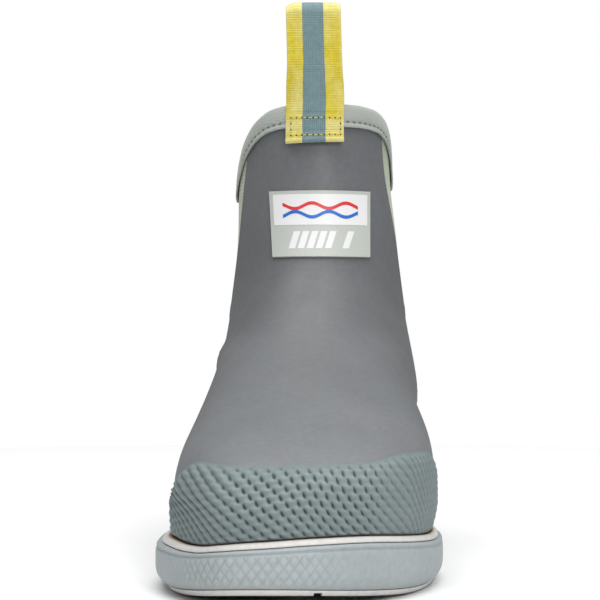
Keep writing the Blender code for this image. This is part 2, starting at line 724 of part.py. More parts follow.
CREAM = material("cream_rubber", (0.70, 0.66, 0.58), 0.6)
FOXING = material("light_grey_rubber", (0.40, 0.45, 0.46), 0.55)
RUBBER_LOOK = material("dark_grey_rubber", (0.17, 0.175, 0.18), 0.5)
TEAL = material("teal_grey_rubber", (0.20, 0.26, 0.255), 0.6)
FOAM = material("midsole_foam", (0.75, 0.75, 0.72), 0.9)
STEEL = material("shank_steel", (0.55, 0.56, 0.58), 0.35, 1.0)
BOARD_LOOK = material("insole_board_fibre", (0.50, 0.40, 0.28), 0.85)
FOOTBED_LOOK = material("footbed_textile", (0.10, 0.12, 0.13), 0.9)
STIFFENER_LOOK = material("stiffener_sheet", (0.30, 0.27, 0.22), 0.8)
LINING_LOOK = material("lining_knit", (0.12, 0.14, 0.15), 0.95)
GORE_LOOK = material("gore_elastic", (0.35, 0.39, 0.30), 0.9)
BINDING_LOOK = material("collar_sage", (0.40, 0.45, 0.43), 0.75)
LABEL_LOOK = material("label_film", (0.78, 0.80, 0.80), 0.4)
WEBBING_LOOK = material("webbing_yellow", (0.62, 0.55, 0.10), 0.85)

CENTRE = (0.0, 0.0)
BOOT = bpy.data.objects.new("boot", None)
bpy.context.scene.collection.objects.link(BOOT)
half_turns = 180 * (np.arange(HALF + 1) / HALF) ** 1.06
SOLE_TURNS = np.concatenate([half_turns, -half_turns[HALF - 1:0:-1]])
widest = sole_ring(FOXING_BULGE, 0)
CENTRE = tuple((widest.min(axis=0) + widest.max(axis=0))[:2] / 2)

make_outsole()
make_midsole()
make_foxing()
make_insoles()
make_upper()
make_gore("gore_lateral", 1)
make_gore("gore_medial", -1)
make_binding()
make_toe_cap()
make_heel_guard()
make_back_stay()
make_label()
make_strap("front", FRONT_STRAP_X, 0, False)
make_strap("rear", REAR_STRAP_X, 180, True)
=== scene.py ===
"""Looks for the left deck boot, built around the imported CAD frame.

Shapes come from the same surface functions as the CAD part: a place on the upper is a turn (0 the front
line, 90 the outer side, 180 the back line, in degrees) and a height. Functions work in millimetres before
the boot is centred, and meshes are made in metres.
"""

import math

import bmesh
import bpy
import numpy as np
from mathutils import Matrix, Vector


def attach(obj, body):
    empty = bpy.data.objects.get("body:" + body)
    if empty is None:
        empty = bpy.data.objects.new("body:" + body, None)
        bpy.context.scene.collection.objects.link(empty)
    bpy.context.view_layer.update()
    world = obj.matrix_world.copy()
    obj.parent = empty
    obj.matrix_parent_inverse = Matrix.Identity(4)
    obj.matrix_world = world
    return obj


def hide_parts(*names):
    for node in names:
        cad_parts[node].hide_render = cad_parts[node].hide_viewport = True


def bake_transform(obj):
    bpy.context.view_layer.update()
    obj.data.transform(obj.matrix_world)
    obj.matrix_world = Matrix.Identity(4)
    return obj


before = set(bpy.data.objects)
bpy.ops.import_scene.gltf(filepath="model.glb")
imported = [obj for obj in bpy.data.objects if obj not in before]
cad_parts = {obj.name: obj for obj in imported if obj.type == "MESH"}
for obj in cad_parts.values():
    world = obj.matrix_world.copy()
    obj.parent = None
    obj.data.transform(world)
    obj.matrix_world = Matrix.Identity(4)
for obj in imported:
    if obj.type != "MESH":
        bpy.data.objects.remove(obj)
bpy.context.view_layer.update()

MM = 0.001

# Dimensions of the boot, in millimetres, as in the CAD part
GAP = 0.3
RUBBER = 2.0
LINING = 2.0
STIFFENER = 0.9
COLLAR_FRONT = 198.0
COLLAR_BACK = 187.5
SHAFT_X = 8.0
COLLAR_LEAN = -1.2
TOE_TIP_X = -20.0
TOE_TIP_Y = -146.0
WIDEST_Z = 32.0
WELT_Z = 20.4
WELT_TOE_RISE = 4.6
WELT_HEEL_RISE = 9.0
TOE_SPRING = 6.0
SOLE_HALF_LENGTH = 147.0
OUTSOLE = 5.0
OUTSOLE_EDGE = 2.3
CHEVRON_PITCH = 15.0
CHEVRON_SWEEP = 28.0
CHANNEL_WIDTH = 2.6
CHANNEL_DEPTH = 1.8
CHANNEL_MARGIN = 8.0
DRAIN_WIDTH = 3.0
DRAIN_SHIFT = 6.0
DRAIN_TOE_X = 6.5
BOARD_DROP = 7.0
BOARD = 2.0
FOOTBED = 5.0
FOXING_LIP = 4.6
FOXING_BULGE = 5.8
INNER_FLARE = 0.33
WELT_STRIP = 2.3
COLLAR_COLUMNS_Z = 185.0
GORE_BOTTOM = 104.0
GORE_CORNER = 7.0
GORE_REAR_TURN = 116.0
BINDING = 1.3
BINDING_DEPTH = 9.5
HEEL_GUARD_TOP = 64.0
HEEL_GUARD_SPREAD = 52.0
KICK_LEDGE = 4.0
BACK_STAY_WIDTH = 22.0
WEBBING_WIDTH = 25.4
WEBBING = 1.4
STRAP_SEWN = 17.5
FRONT_STRAP_X = 6.0
REAR_STRAP_X = 9.5
LOOP_HEIGHT = 45.0
COLLAR_ROUNDING = 0.42
WALL = RUBBER + GAP + LINING
STRAP_OUTER = GAP + BINDING + GAP
STRAP_INNER = WALL + GAP + BINDING + GAP

# Details that only the looks have, in millimetres unless said
GORE_RIBS = 22
BINDING_BEAD = 0.75
BINDING_STITCH = 3.6
BINDING_THREAD = 0.32
WEBBING_STITCH = 2.3
WEBBING_THREAD = 0.24
# Radius of the dark dots of painted shade at the needle holes
HOLE_SHADOW_RADIUS = 0.42
WEFT_PITCH = 1.15
WEFT_SHADE_PITCH = 0.8
WARP_COUNT = 6
WARP_SHADE_COUNT = 30
DIAMOND_WIDE = 4.0
DIAMOND_TALL = 5.2
DIAMOND_RELIEF = 0.8
TOE_RELIEF = 1.15
HEEL_RELIEF = 0.9
DIMPLE_PITCH = 3.0
THREAD_SIDES = 7
RUBBER_GRAIN = 0.12
HALVINGS = 26

# Columns and rows of the CAD's grid of the upper
FRONT_STEPS = 11
GORE_STEPS = 6
REAR_STEPS = 7
HALF = FRONT_STEPS + GORE_STEPS + REAR_STEPS
LOWER_ROWS = 10
UPPER_ROWS = 6
ROW_CROWDING = 1.3


TOLERANCE = 1e-6


# ---------------------------------------------------------------- the boot's shape

def smooth_curve(points):
    """A smooth curve through (a, b) points that never overshoots, as a function from a to b."""
    a = np.array([p[0] for p in points], float)
    b = np.array([p[1] for p in points], float)
    step = np.diff(a)
    rise = np.diff(b) / step
    slope = np.zeros(len(a))
    slope[0] = rise[0]
    slope[-1] = rise[-1]
    for i in range(1, len(a) - 1):
        if rise[i - 1] * rise[i] > 0:
            before = 2 * step[i] + step[i - 1]
            after = step[i] + 2 * step[i - 1]
            slope[i] = (before + after) / (before / rise[i - 1] + after / rise[i])

    def curve(x):
        x = np.clip(np.asarray(x, float), a[0], a[-1])
        i = np.clip(np.searchsorted(a, x) - 1, 0, len(step) - 1)
        t = (x - a[i]) / step[i]
        start = (1 + 2 * t) * (1 - t) ** 2 * b[i] + t * (1 - t) ** 2 * step[i] * slope[i]
        end = t * t * (3 - 2 * t) * b[i + 1] + t * t * (t - 1) * step[i] * slope[i + 1]
        return start + end

    return curve


def smoothstep(x, low, high):
    """A smooth rise from 0 at low to 1 at high."""
    t = np.clip((x - low) / (high - low), 0, 1)
    return t * t * (3 - 2 * t)


def smooth_max(a, b, blend):
    """The larger of two values, rounded where they are within blend of each other."""
    t = np.clip(0.5 + 0.5 * (a - b) / blend, 0, 1)
    return b + (a - b) * t + blend * t * (1 - t)


front_line = smooth_curve([(14, -141), (34, TOE_TIP_Y), (46, -140), (56, -122), (72, -70), (98, -14),
                           (132, 21), (175, 33.5), (215, 35.5)])
back_line = smooth_curve([(6, 141), (38, 147), (60, 144.5), (120, 138), (180, 144), (215, 147)])
outer_side = smooth_curve([(-146, 49), (-100, 53), (-45, 54.6), (24, 46.5), (70, 44.5), (147, 44)])
inner_side = smooth_curve([(-146, -47), (-65, -50), (-30, -47.5), (24, -38.5), (60, -33.5), (105, -28.5),
                           (147, -28.5)])
leg_half_width = smooth_curve([(14, 37), (35, 38), (72, 44), (112, 39.2), (150, 36.6), (174, 35.2),
                               (215, 36)])
outer_collar = smooth_curve([(0, COLLAR_FRONT), (32, 197.8), (50, 196.6), (62, 193.2), (74, 186),
                             (86, 176.5), (98, 172), (115, 174.5), (143, 184), (158, 187),
                             (180, COLLAR_BACK)])
inner_collar = smooth_curve([(0, COLLAR_FRONT), (20, 197.4), (34, 196), (47, 192), (61, 184), (71, 176),
                             (84, 169), (96, 166.5), (115, 169.5), (143, 183), (158, 187),
                             (180, COLLAR_BACK)])
gore_front_turn = smooth_curve([(100, 88), (130, 76), (160, 66), (185, 59), (215, 55)])

# By turn: the welt dips on the inner side of the toe and rises a little on the outer side
welt_tilt = smooth_curve([(-95, 0), (-70, 0), (-58, -0.2), (-45, -0.8), (-33, -1.9), (-24, -2.1), (-12, -1.3),
                          (4, 0), (15, 1.1), (28, 1.7), (45, 0.8), (60, 0), (75, 0)])

RIDGE_HEIGHTS = 34 + 181 * np.linspace(0, 1, 3000) ** 2.5
RIDGE_YS = front_line(RIDGE_HEIGHTS)


def ridge_x(y):
    """The line over the foot where its two halves meet."""
    return np.interp(y, [TOE_TIP_Y, -60, 30], [TOE_TIP_X, -3, SHAFT_X])


def half_width(y, z, side):
    """How far one side's wall stands from the ridge: the foot below, and the leg above."""
    front = front_line(z)
    back = back_line(z)
    middle = (front + back) / 2
    half_length = (back - front) / 2
    leg = leg_half_width(z) * np.sqrt(np.clip(1 - ((y - middle) / half_length) ** 2, 0, 1))

    edge = np.where(side > 0, outer_side(y), -inner_side(y))
    toe_start = np.where(side > 0, -45.0, -72.0)
    toe_end = np.where(z < 34, front, TOE_TIP_Y)
    toe = np.clip((toe_start - y) / (toe_start - toe_end), 0, 1)
    heel = np.clip((y - (back - 42)) / 42, 0, 1)
    outline = np.sqrt(1 - toe ** 2.2) * np.sqrt(1 - heel ** 2.2)
    ridge = np.interp(y, RIDGE_YS, RIDGE_HEIGHTS, right=400)
    up = np.clip((z - WIDEST_Z) / (np.maximum(ridge, WIDEST_Z + 1) - WIDEST_Z), 0, 1)
    dome = np.sqrt(1 - up ** np.where(side > 0, 3.8, 2.9))
    tuck = 1 - np.where(side > 0, 0.0011, 0.0004) * np.clip(WIDEST_Z - z, 0, 40) ** 1.5
    foot = (edge - side * ridge_x(y)) * outline * dome * tuck
    fade = 1 - smoothstep(z, 85, 130)
    return smooth_max(foot * fade, leg, 5.0)


def upper_point(turn, z):
    """The outer face of the rubber at a turn and a height."""
    turn, z = np.broadcast_arrays(np.asarray(turn, float), np.asarray(z, float))
    front = front_line(z)
    back = back_line(z)
    y = (front + back) / 2 - (back - front) / 2 * np.cos(np.radians(turn))
    sine = np.sin(np.radians(turn))
    side = np.where(sine >= 0, 1.0, -1.0)
    # The two rounded halves meet in a narrow flat on the front and back lines
    flat = 1.25 * (1 - smoothstep(np.abs(sine), 0, 0.06))
    wall = np.where(np.abs(sine) < 1e-9, 0.0, half_width(y, z, side) - flat)
    middle = ridge_x(y) + COLLAR_LEAN * smoothstep(z, 135, 172)
    return np.stack([middle + side * wall, y, z], axis=-1)


def upper_normal(turn, z):
    """The outward direction at a turn and a height."""
    around = upper_point(turn + 0.6, z) - upper_point(turn - 0.6, z)
    upward = upper_point(turn, z + 0.6) - upper_point(turn, z - 0.6)
    normal = np.cross(around, upward)
    return normal / np.linalg.norm(normal, axis=-1, keepdims=True)


def offset_point(turn, z, offset):
    """A point at a distance from the outer face, outwards if it is positive."""
    turn, z = np.broadcast_arrays(np.asarray(turn, float), np.asarray(z, float))
    return upper_point(turn, z) + upper_normal(turn, z) * np.asarray(offset, float)[..., None]


def turn_at(x, z, rear=False):
    """The turn at which the front or the rear of the upper passes x at height z, by halving."""
    x, z = np.broadcast_arrays(np.asarray(x, float), np.asarray(z, float))
    low = np.full(x.shape, 250.0 if rear else -80.0)
    high = np.full(x.shape, 110.0 if rear else 80.0)
    for halving in range(HALVINGS):
        middle = (low + high) / 2
        short = upper_point(middle, z)[..., 0] < x
        low = np.where(short, middle, low)
        high = np.where(short, high, middle)
    return (low + high) / 2


def collar_height(turn):
    """The height of the rubber's top edge, which dips lower on the inner side."""
    around = (np.asarray(turn, float) + 180) % 360 - 180
    return np.where(around >= 0, outer_collar(np.abs(around)), inner_collar(np.abs(around)))


def toe_lift(y):
    """How far the sole's underside curls up towards the toe."""
    return TOE_SPRING * (np.clip(-80 - y, 0, None) / 68) ** 2


def sole_top(turn):
    """The top of the sole, level across the foot."""
    y = upper_point(turn, WELT_Z)[..., 1]
    toe = WELT_TOE_RISE * (np.clip(-60 - y, 0, None) / 82) ** 1.5
    return WELT_Z + toe + WELT_HEEL_RISE * smoothstep(y, -10, 110)


def welt_height(turn):
    """The height of the welt strip's top edge, which tilts across the toe."""
    return sole_top(turn) + welt_tilt(turn)


def board_height(turn):
    return sole_top(turn) - BOARD_DROP


def column_turn(column, z):
    """The turn of one of the CAD's columns, which bend with the gore's front edge."""
    column = np.asarray(column)
    front = gore_front_turn(z)
    on_front = front * column / FRONT_STEPS
    on_gore = front + (GORE_REAR_TURN - front) * (column - FRONT_STEPS) / GORE_STEPS
    on_rear = GORE_REAR_TURN + (180 - GORE_REAR_TURN) * (column - FRONT_STEPS - GORE_STEPS) / REAR_STEPS
    behind_front = np.where(column <= FRONT_STEPS + GORE_STEPS, on_gore, on_rear)
    return np.where(column <= FRONT_STEPS, on_front, behind_front)


def gore_floor(column):
    """The height of a gore's rounded lower edge."""
    across = np.clip(np.abs((column - FRONT_STEPS) / GORE_STEPS * 2 - 1), 0, 1)
    return GORE_BOTTOM + GORE_CORNER * across ** 3


def both_sides(make):
    """A grid for the whole boot from make(side), which gives one side's columns from front to back."""
    return np.concatenate([make(1), make(-1)[-2:0:-1]])


def collar_edge(columns, drop=0.0):
    """Turns and heights where columns pass a line parallel to the collar's top."""
    def heights(side):
        return collar_height(side * column_turn(columns, COLLAR_COLUMNS_Z)) - drop

    def turns(side):
        return side * column_turn(columns, heights(side))

    return both_sides(turns), both_sides(heights)


def whole_round(columns):
    """Column numbers for the whole boot, in the order in which both_sides gives them."""
    return np.concatenate([columns, columns[-2:0:-1]])


def upper_grid(columns, rows):
    """Turns and heights of the upper's grid, [column, row], at fractions of the CAD's columns and rows."""
    below = np.clip(rows / LOWER_ROWS, 0, 1) ** ROW_CROWDING
    above = np.clip((rows - LOWER_ROWS) / UPPER_ROWS, 0, 1)
    floor = gore_floor(columns)[:, None]

    def heights(side):
        low = board_height(side * column_turn(columns, WELT_Z))[:, None]
        top = collar_height(side * column_turn(columns, COLLAR_COLUMNS_Z))[:, None]
        return low + (floor - low) * below + (top - floor) * above

    def turns(side):
        return side * column_turn(columns[:, None], heights(side))

    return both_sides(turns), both_sides(heights)


def sole_ring(turns, offset, z, shape_z=None):
    """An outline of the upper at shape_z, moved outwards level by offset and set at height z."""
    shape = np.broadcast_to(welt_height(turns) if shape_z is None else shape_z, turns.shape)
    base = upper_point(turns, shape)
    normal = upper_normal(turns, shape)
    level = normal[:, :2] / np.linalg.norm(normal[:, :2], axis=1, keepdims=True)
    at_inner_ball = smoothstep(-base[:, 0], 10, 45) * (1 - smoothstep(np.abs(base[:, 1] + 65), 30, 90))
    reach = offset * (1 + INNER_FLARE * at_inner_ball * (np.asarray(offset) > 0))
    flat = base[:, :2] + level * np.broadcast_to(reach, turns.shape)[:, None]
    return np.column_stack([flat, np.broadcast_to(z, turns.shape)])


def sole_turns(half):
    """Turns round the whole sole, with half a round's number of steps, a little closer at the toe."""
    share = 180 * (np.arange(half + 1) / half) ** 1.06
    return np.concatenate([share, -share[-2:0:-1]])


cad_outline = sole_ring(sole_turns(HALF), FOXING_BULGE, 0)
CENTRE = (cad_outline.min(axis=0) + cad_outline.max(axis=0)) / 2 * [1, 1, 0]


# ---------------------------------------------------------------- meshes

def mesh_object(name, points, faces, look, attributes=None, sharp=50.0):
    """One object from points in millimetres, before centring, with values per point for its material."""
    points = np.asarray(points, float).reshape(-1, 3)
    faces = np.asarray(faces)
    used, packed = np.unique(faces, return_inverse=True)
    faces = packed.reshape(faces.shape)
    mesh = bpy.data.meshes.new(name)
    mesh.from_pydata(((points[used] - CENTRE) * MM).tolist(), [], faces.tolist())
    work = bmesh.new()
    work.from_mesh(mesh)
    bmesh.ops.recalc_face_normals(work, faces=work.faces)
    work.to_mesh(mesh)
    work.free()
    for key, values in (attributes or {}).items():
        layer = mesh.attributes.new(key, "FLOAT", "POINT")
        layer.data.foreach_set("value", np.asarray(values, np.float32).ravel()[used])
    mesh.materials.append(look)
    mesh.shade_smooth()
    mesh.set_sharp_from_angle(angle=math.radians(sharp))
    made = bpy.data.objects.new(name, mesh)
    bpy.context.scene.collection.objects.link(made)
    return made


def solid_faces(columns, rows, around=False, cells=None):
    """Faces of a closed solid between two grids, [column, row], over all cells or those marked."""
    wide = columns if around else columns - 1
    if cells is None:
        cells = np.ones((wide, rows - 1), bool)
    layer = columns * rows
    i, j = np.nonzero(cells)
    a = i * rows + j
    b = (i + 1) % columns * rows + j
    corners = [a, b, b + 1, a + 1]
    faces = [np.stack(corners, axis=1), np.stack(corners[::-1], axis=1) + layer]
    known = np.zeros((wide + 2, rows + 1), bool)
    known[1:-1, 1:-1] = cells
    if around:
        known[0, 1:-1] = cells[-1]
        known[-1, 1:-1] = cells[0]
    for k, (di, dj) in enumerate([(0, -1), (1, 0), (0, 1), (-1, 0)]):
        edge = ~known[i + 1 + di, j + 1 + dj]
        start = corners[k][edge]
        end = corners[(k + 1) % 4][edge]
        faces.append(np.stack([end, start, start + layer, end + layer], axis=1))
    return np.concatenate(faces)


def solid_between(name, outer, inner, look, around=False, cells=None, attributes=None, **options):
    """A closed solid between two grids of points. Both faces get the same values per point."""
    faces = solid_faces(*outer.shape[:2], around, cells)
    points = np.concatenate([outer.reshape(-1, 3), inner.reshape(-1, 3)])
    doubled = {key: np.concatenate([v.ravel(), v.ravel()]) for key, v in (attributes or {}).items()}
    return mesh_object(name, points, faces, look, doubled, **options)


def ring_faces(count, size, closed):
    """Faces through rings of points, each joined to the next, and the last to the first if closed."""
    k, i = np.meshgrid(np.arange(count if closed else count - 1), np.arange(size), indexing="ij")
    k, i = k.ravel(), i.ravel()
    n = (k + 1) % count
    j = (i + 1) % size
    return np.stack([k * size + i, k * size + j, n * size + j, n * size + i], axis=1)


def lofted(name, rings, look, attributes=None, **options):
    """A closed solid through rings. The first and last are closed by strips across the foot."""
    rings = np.array(rings)
    count, size = rings.shape[:2]
    faces = ring_faces(count, size, False).tolist()
    for start in (0, (count - 1) * size):
        for i in range(size // 2):
            corners = [start + i, start + i + 1, start + (size - i - 1) % size, start + (size - i) % size]
            faces.append(list(dict.fromkeys(corners)))
    triangles = [f for f in faces if len(f) == 3]
    quads = [f for f in faces if len(f) == 4]
    doubled = triangles + [[q[0], q[1], q[2]] for q in quads] + [[q[0], q[2], q[3]] for q in quads]
    return mesh_object(name, rings.reshape(-1, 3), doubled, look, attributes, **options)


def swept(name, rings, look, attributes=None, **options):
    """A closed band: rings of points joined one to the next, and the last to the first."""
    rings = np.array(rings)
    faces = ring_faces(*rings.shape[:2], True)
    return mesh_object(name, rings.reshape(-1, 3), faces, look, attributes, **options)


def threads(name, lines, radius, look):
    """Stitches as one object: each line of points becomes a rounded thread."""
    sides = THREAD_SIDES
    points = []
    faces = []
    for line in lines:
        line = np.asarray(line, float)
        along = np.gradient(line, axis=0)
        along /= np.linalg.norm(along, axis=1, keepdims=True)
        helper = np.where(np.abs(along[:, 2:3]) > 0.8, [[1.0, 0.0, 0.0]], [[0.0, 0.0, 1.0]])
        first = np.cross(along, helper)
        first /= np.linalg.norm(first, axis=1, keepdims=True)
        second = np.cross(along, first)
        share = np.linspace(-1, 1, len(line))
        thick = radius * np.sqrt(np.clip(1 - share ** 4, 0.04, 1))
        angles = np.arange(sides) * 2 * math.pi / sides
        start = len(points)
        for centre, u, v, r in zip(line, first, second, thick):
            points += [centre + (u * math.cos(t) + v * math.sin(t)) * r for t in angles]
        points += [line[0] - along[0] * radius * 0.3, line[-1] + along[-1] * radius * 0.3]
        caps = (start + len(line) * sides, start + len(line) * sides + 1)
        for k in range(len(line) - 1):
            for s in range(sides):
                a = start + k * sides + s
                b = start + k * sides + (s + 1) % sides
                faces += [[a, b, b + sides], [a, b + sides, a + sides]]
        for s in range(sides):
            faces.append([start + s, start + (s + 1) % sides, caps[0]])
            last = start + (len(line) - 1) * sides
            faces.append([last + s, last + (s + 1) % sides, caps[1]])
    return mesh_object(name, points, faces, look)


# ---------------------------------------------------------------- materials

def new_look(name, roughness, **sockets):
    """A Principled material: its tree and shader, with constants set straight on the shader's sockets."""
    look = bpy.data.materials.new(name)
    look.use_nodes = True
    shader = look.node_tree.nodes["Principled BSDF"]
    shader.inputs["Roughness"].default_value = roughness
    for key, value in sockets.items():
        shader.inputs[key.replace("_", " ")].default_value = value
    return look, look.node_tree, shader


def node(tree, kind, inputs=(), **settings):
    """A shader node, with its inputs linked or set by name or number."""
    made = tree.nodes.new(kind)
    for key, value in settings.items():
        setattr(made, key, value)
    for key, value in dict(inputs).items():
        if isinstance(value, bpy.types.NodeSocket):
            tree.links.new(value, made.inputs[key])
        else:
            made.inputs[key].default_value = value
    return made


def place(tree, stretch=(1, 1, 1)):
    """Object coordinates in metres, stretched."""
    here = node(tree, "ShaderNodeTexCoord").outputs["Object"]
    return node(tree, "ShaderNodeMapping", {"Vector": here, "Scale": stretch}).outputs["Vector"]


def noise(tree, scale, detail=3.0, stretch=(1, 1, 1)):
    """Noise fixed to the boot, with its scale per metre."""
    inputs = {"Vector": place(tree, stretch), "Scale": scale, "Detail": detail}
    return node(tree, "ShaderNodeTexNoise", inputs).outputs["Fac"]


def attribute(tree, name):
    """The values per point that a mesh carries under a name."""
    return node(tree, "ShaderNodeAttribute", attribute_name=name).outputs["Fac"]


def ramp(tree, value, stops, constant=False):
    """A colour by value, from (position, colour) stops."""
    made = node(tree, "ShaderNodeValToRGB", {"Fac": value})
    made.color_ramp.interpolation = "CONSTANT" if constant else "LINEAR"
    elements = made.color_ramp.elements
    while len(elements) < len(stops):
        elements.new(0.5)
    for element, (position, colour) in zip(elements, stops):
        element.position = position
        element.color = (*colour, 1.0)
    return made.outputs["Color"]


def mix(tree, share, a, b, blend="MIX"):
    """Two colours blended by a share."""
    made = node(tree, "ShaderNodeMix", data_type="RGBA", blend_type=blend)
    for socket, value in zip((made.inputs[0], made.inputs[6], made.inputs[7]), (share, a, b)):
        if isinstance(value, bpy.types.NodeSocket):
            tree.links.new(value, socket)
        else:
            socket.default_value = value if isinstance(value, float) else (*value, 1.0)
    return made.outputs[2]


def scaled(tree, value, low, high, from_low=0.0, from_high=1.0):
    """A value carried from one range to another."""
    inputs = {"Value": value, "From Min": from_low, "From Max": from_high, "To Min": low, "To Max": high}
    return node(tree, "ShaderNodeMapRange", inputs).outputs["Result"]


def maths(tree, operation, a, b=0.0):
    return node(tree, "ShaderNodeMath", {0: a, 1: b}, operation=operation).outputs[0]


def bump(tree, shader, heights):
    """Adds bumps in turn from (height, strength, distance in millimetres)."""
    normal = None
    for height, strength, distance in heights:
        inputs = {"Height": height, "Strength": strength, "Distance": distance * MM}
        if normal is not None:
            inputs["Normal"] = normal
        normal = node(tree, "ShaderNodeBump", inputs).outputs["Normal"]
    tree.links.new(normal, shader.inputs["Normal"])


def shade(colour, factor):
    """A colour made lighter or darker."""
    return tuple(min(c * factor, 1.0) for c in colour)


def greys(*stops):
    """Grey stops of a ramp, from (position, brightness) pairs."""
    return [(position, (bright, bright, bright)) for position, bright in stops]


def times(tree, base, tone):
    """One colour multiplied by another."""
    return mix(tree, 1.0, base, tone, "MULTIPLY")


def rubber_look(name, colour, roughness, mottle=0.10, relief=None, stain=None, dust=None, toe=None):
    """Moulded rubber: slow mottling, fine pitting, uneven gloss, and painted shade in the hollows of its
    relief.

    relief holds the tones of hollows and crests, as painted shade and painted highlight, and toe holds
    painted light and shade by height, in quarters of a metre.
    """
    look, tree, shader = new_look(name, roughness, Specular_IOR_Level=0.42)
    broad = noise(tree, 22.0, 4.0)
    fine = noise(tree, 420.0, 3.0)
    base = ramp(tree, broad, [(0.28, shade(colour, 1 - mottle)), (0.72, shade(colour, 1 + mottle))])
    base = times(tree, base, ramp(tree, fine, greys((0.3, 0.93), (0.7, 1.05))))
    # Painted shade in the relief's hollows and painted highlight on its crests
    if relief:
        low, high = relief
        tone = ramp(tree, attribute(tree, "relief"), [(0.0, low), (0.45, (1.0, 1.0, 1.0)), (1.0, high)])
        base = times(tree, base, tone)
    # Painted light and shade by height: paler low down and darker at mid height
    if toe:
        height = node(tree, "ShaderNodeSeparateXYZ", {"Vector": place(tree)}).outputs["Z"]
        base = times(tree, base, ramp(tree, maths(tree, "MULTIPLY", height, 4.0), greys(*toe)))
    if dust:
        patches = ramp(tree, noise(tree, 9.0, 5.0), greys((0.52, 0.0), (0.75, 0.5)))
        base = mix(tree, patches, base, dust)
    if stain:
        base = mix(tree, attribute(tree, "stain"), base, stain)
    tree.links.new(base, shader.inputs["Base Color"])
    gloss = scaled(tree, noise(tree, 60.0, 4.0), roughness - 0.07, roughness + 0.09, 0.3, 0.7)
    tree.links.new(gloss, shader.inputs["Roughness"])
    bump(tree, shader, [(fine, RUBBER_GRAIN, 0.12), (noise(tree, 1500.0, 2.0), RUBBER_GRAIN, 0.05)])
    return look


def cloth_look(name, colour, roughness, weave, sheen=0.25, ribs=False, strength=0.5):
    """Cloth with crossed yarns at a pitch in millimetres, and painted shade in the grooves between any
    modelled ribs.
    """
    look, tree, shader = new_look(name, roughness, Sheen_Weight=sheen, Sheen_Roughness=0.5,
                                  Specular_IOR_Level=0.25)
    waves = []
    for direction in ("DIAGONAL", "Z"):
        inputs = {"Vector": place(tree), "Scale": 2 * math.pi / 20 / (weave * MM), "Distortion": 0.6,
                  "Detail": 1.0, "Detail Scale": 2.0}
        made = node(tree, "ShaderNodeTexWave", inputs, bands_direction=direction)
        waves.append(made.outputs["Fac"])
    yarn = maths(tree, "MULTIPLY", waves[0], waves[1])
    base = ramp(tree, noise(tree, 30.0, 4.0), [(0.3, shade(colour, 0.9)), (0.7, shade(colour, 1.1))])
    base = times(tree, base, ramp(tree, yarn, greys((0.0, 0.84), (0.7, 1.06))))
    # Painted shade: the grooves between modelled ribs are darkened
    if ribs:
        groove = ramp(tree, attribute(tree, "relief"), [(0.0, (0.62, 0.62, 0.6)), (0.55, (1.0, 1.0, 1.0))])
        base = times(tree, base, groove)
    tree.links.new(base, shader.inputs["Base Color"])
    rough = scaled(tree, yarn, roughness + 0.05, roughness - 0.08)
    tree.links.new(rough, shader.inputs["Roughness"])
    bump(tree, shader, [(yarn, strength, 0.15), (noise(tree, 1800.0, 2.0), 0.3, 0.06)])
    return look


def webbing_look(name):
    """Striped webbing: yellow, grey-blue and yellow across, with weft ribs and lengthwise yarns."""
    look, tree, shader = new_look(name, 0.68, Sheen_Weight=0.2, Sheen_Roughness=0.45,
                                  Specular_IOR_Level=0.3)
    across = attribute(tree, "across")
    along = attribute(tree, "along")
    wander = scaled(tree, noise(tree, 900.0, 2.0), -0.006, 0.006)
    edge = maths(tree, "ADD", across, wander)
    yellow = (0.64, 0.52, 0.035)
    pale = (0.74, 0.68, 0.30)
    grey = (0.162, 0.248, 0.262)
    worn = scaled(tree, noise(tree, 120.0, 4.0, (1, 1, 0.35)), 0.0, 0.6, 0.45, 0.72)
    gold = mix(tree, maths(tree, "MAXIMUM", worn, attribute(tree, "worn")), yellow, pale)
    is_grey = ramp(tree, edge, greys((0.0, 0), (0.290, 1), (0.678, 0)), constant=True)
    base = mix(tree, is_grey, gold, grey)
    weft = maths(tree, "SINE", maths(tree, "MULTIPLY", along, 2 * math.pi / WEFT_SHADE_PITCH))
    warp = maths(tree, "SINE", maths(tree, "MULTIPLY", across, 2 * math.pi * WARP_SHADE_COUNT))
    ribs = ramp(tree, scaled(tree, weft, 0.0, 1.0, -1.0, 1.0),
                [(0.0, (0.86, 0.86, 0.84)), (0.6, (1.04, 1.04, 1.04))])
    lines = ramp(tree, scaled(tree, warp, 0.0, 1.0, -1.0, 1.0),
                 [(0.0, (0.85, 0.86, 0.88)), (0.5, (1.03, 1.03, 1.03))])
    base = times(tree, base, mix(tree, is_grey, ribs, lines))
    base = times(tree, base, ramp(tree, noise(tree, 500.0, 3.0), greys((0.3, 0.9), (0.7, 1.08))))
    tree.links.new(base, shader.inputs["Base Color"])
    tree.links.new(scaled(tree, weft, 0.74, 0.6, -1.0, 1.0), shader.inputs["Roughness"])
    bump(tree, shader, [(weft, 0.35, 0.10), (warp, 0.3, 0.08), (noise(tree, 2200.0, 2.0), 0.3, 0.05)])
    return look


def plain_look(name, colour, roughness, scale, strength=0.3, metallic=0.0, stretch=(1, 1, 1), uneven=0.13):
    """A simple moulded or pressed material with fine grain and slight colour variation."""
    look, tree, shader = new_look(name, roughness, Metallic=metallic)
    grain = noise(tree, scale, 4.0, stretch)
    base = ramp(tree, grain, [(0.3, shade(colour, 1 - uneven)), (0.7, shade(colour, 1 + uneven))])
    tree.links.new(base, shader.inputs["Base Color"])
    tree.links.new(scaled(tree, grain, roughness - 0.06, roughness + 0.06), shader.inputs["Roughness"])
    bump(tree, shader, [(grain, strength, 0.12)])
    return look
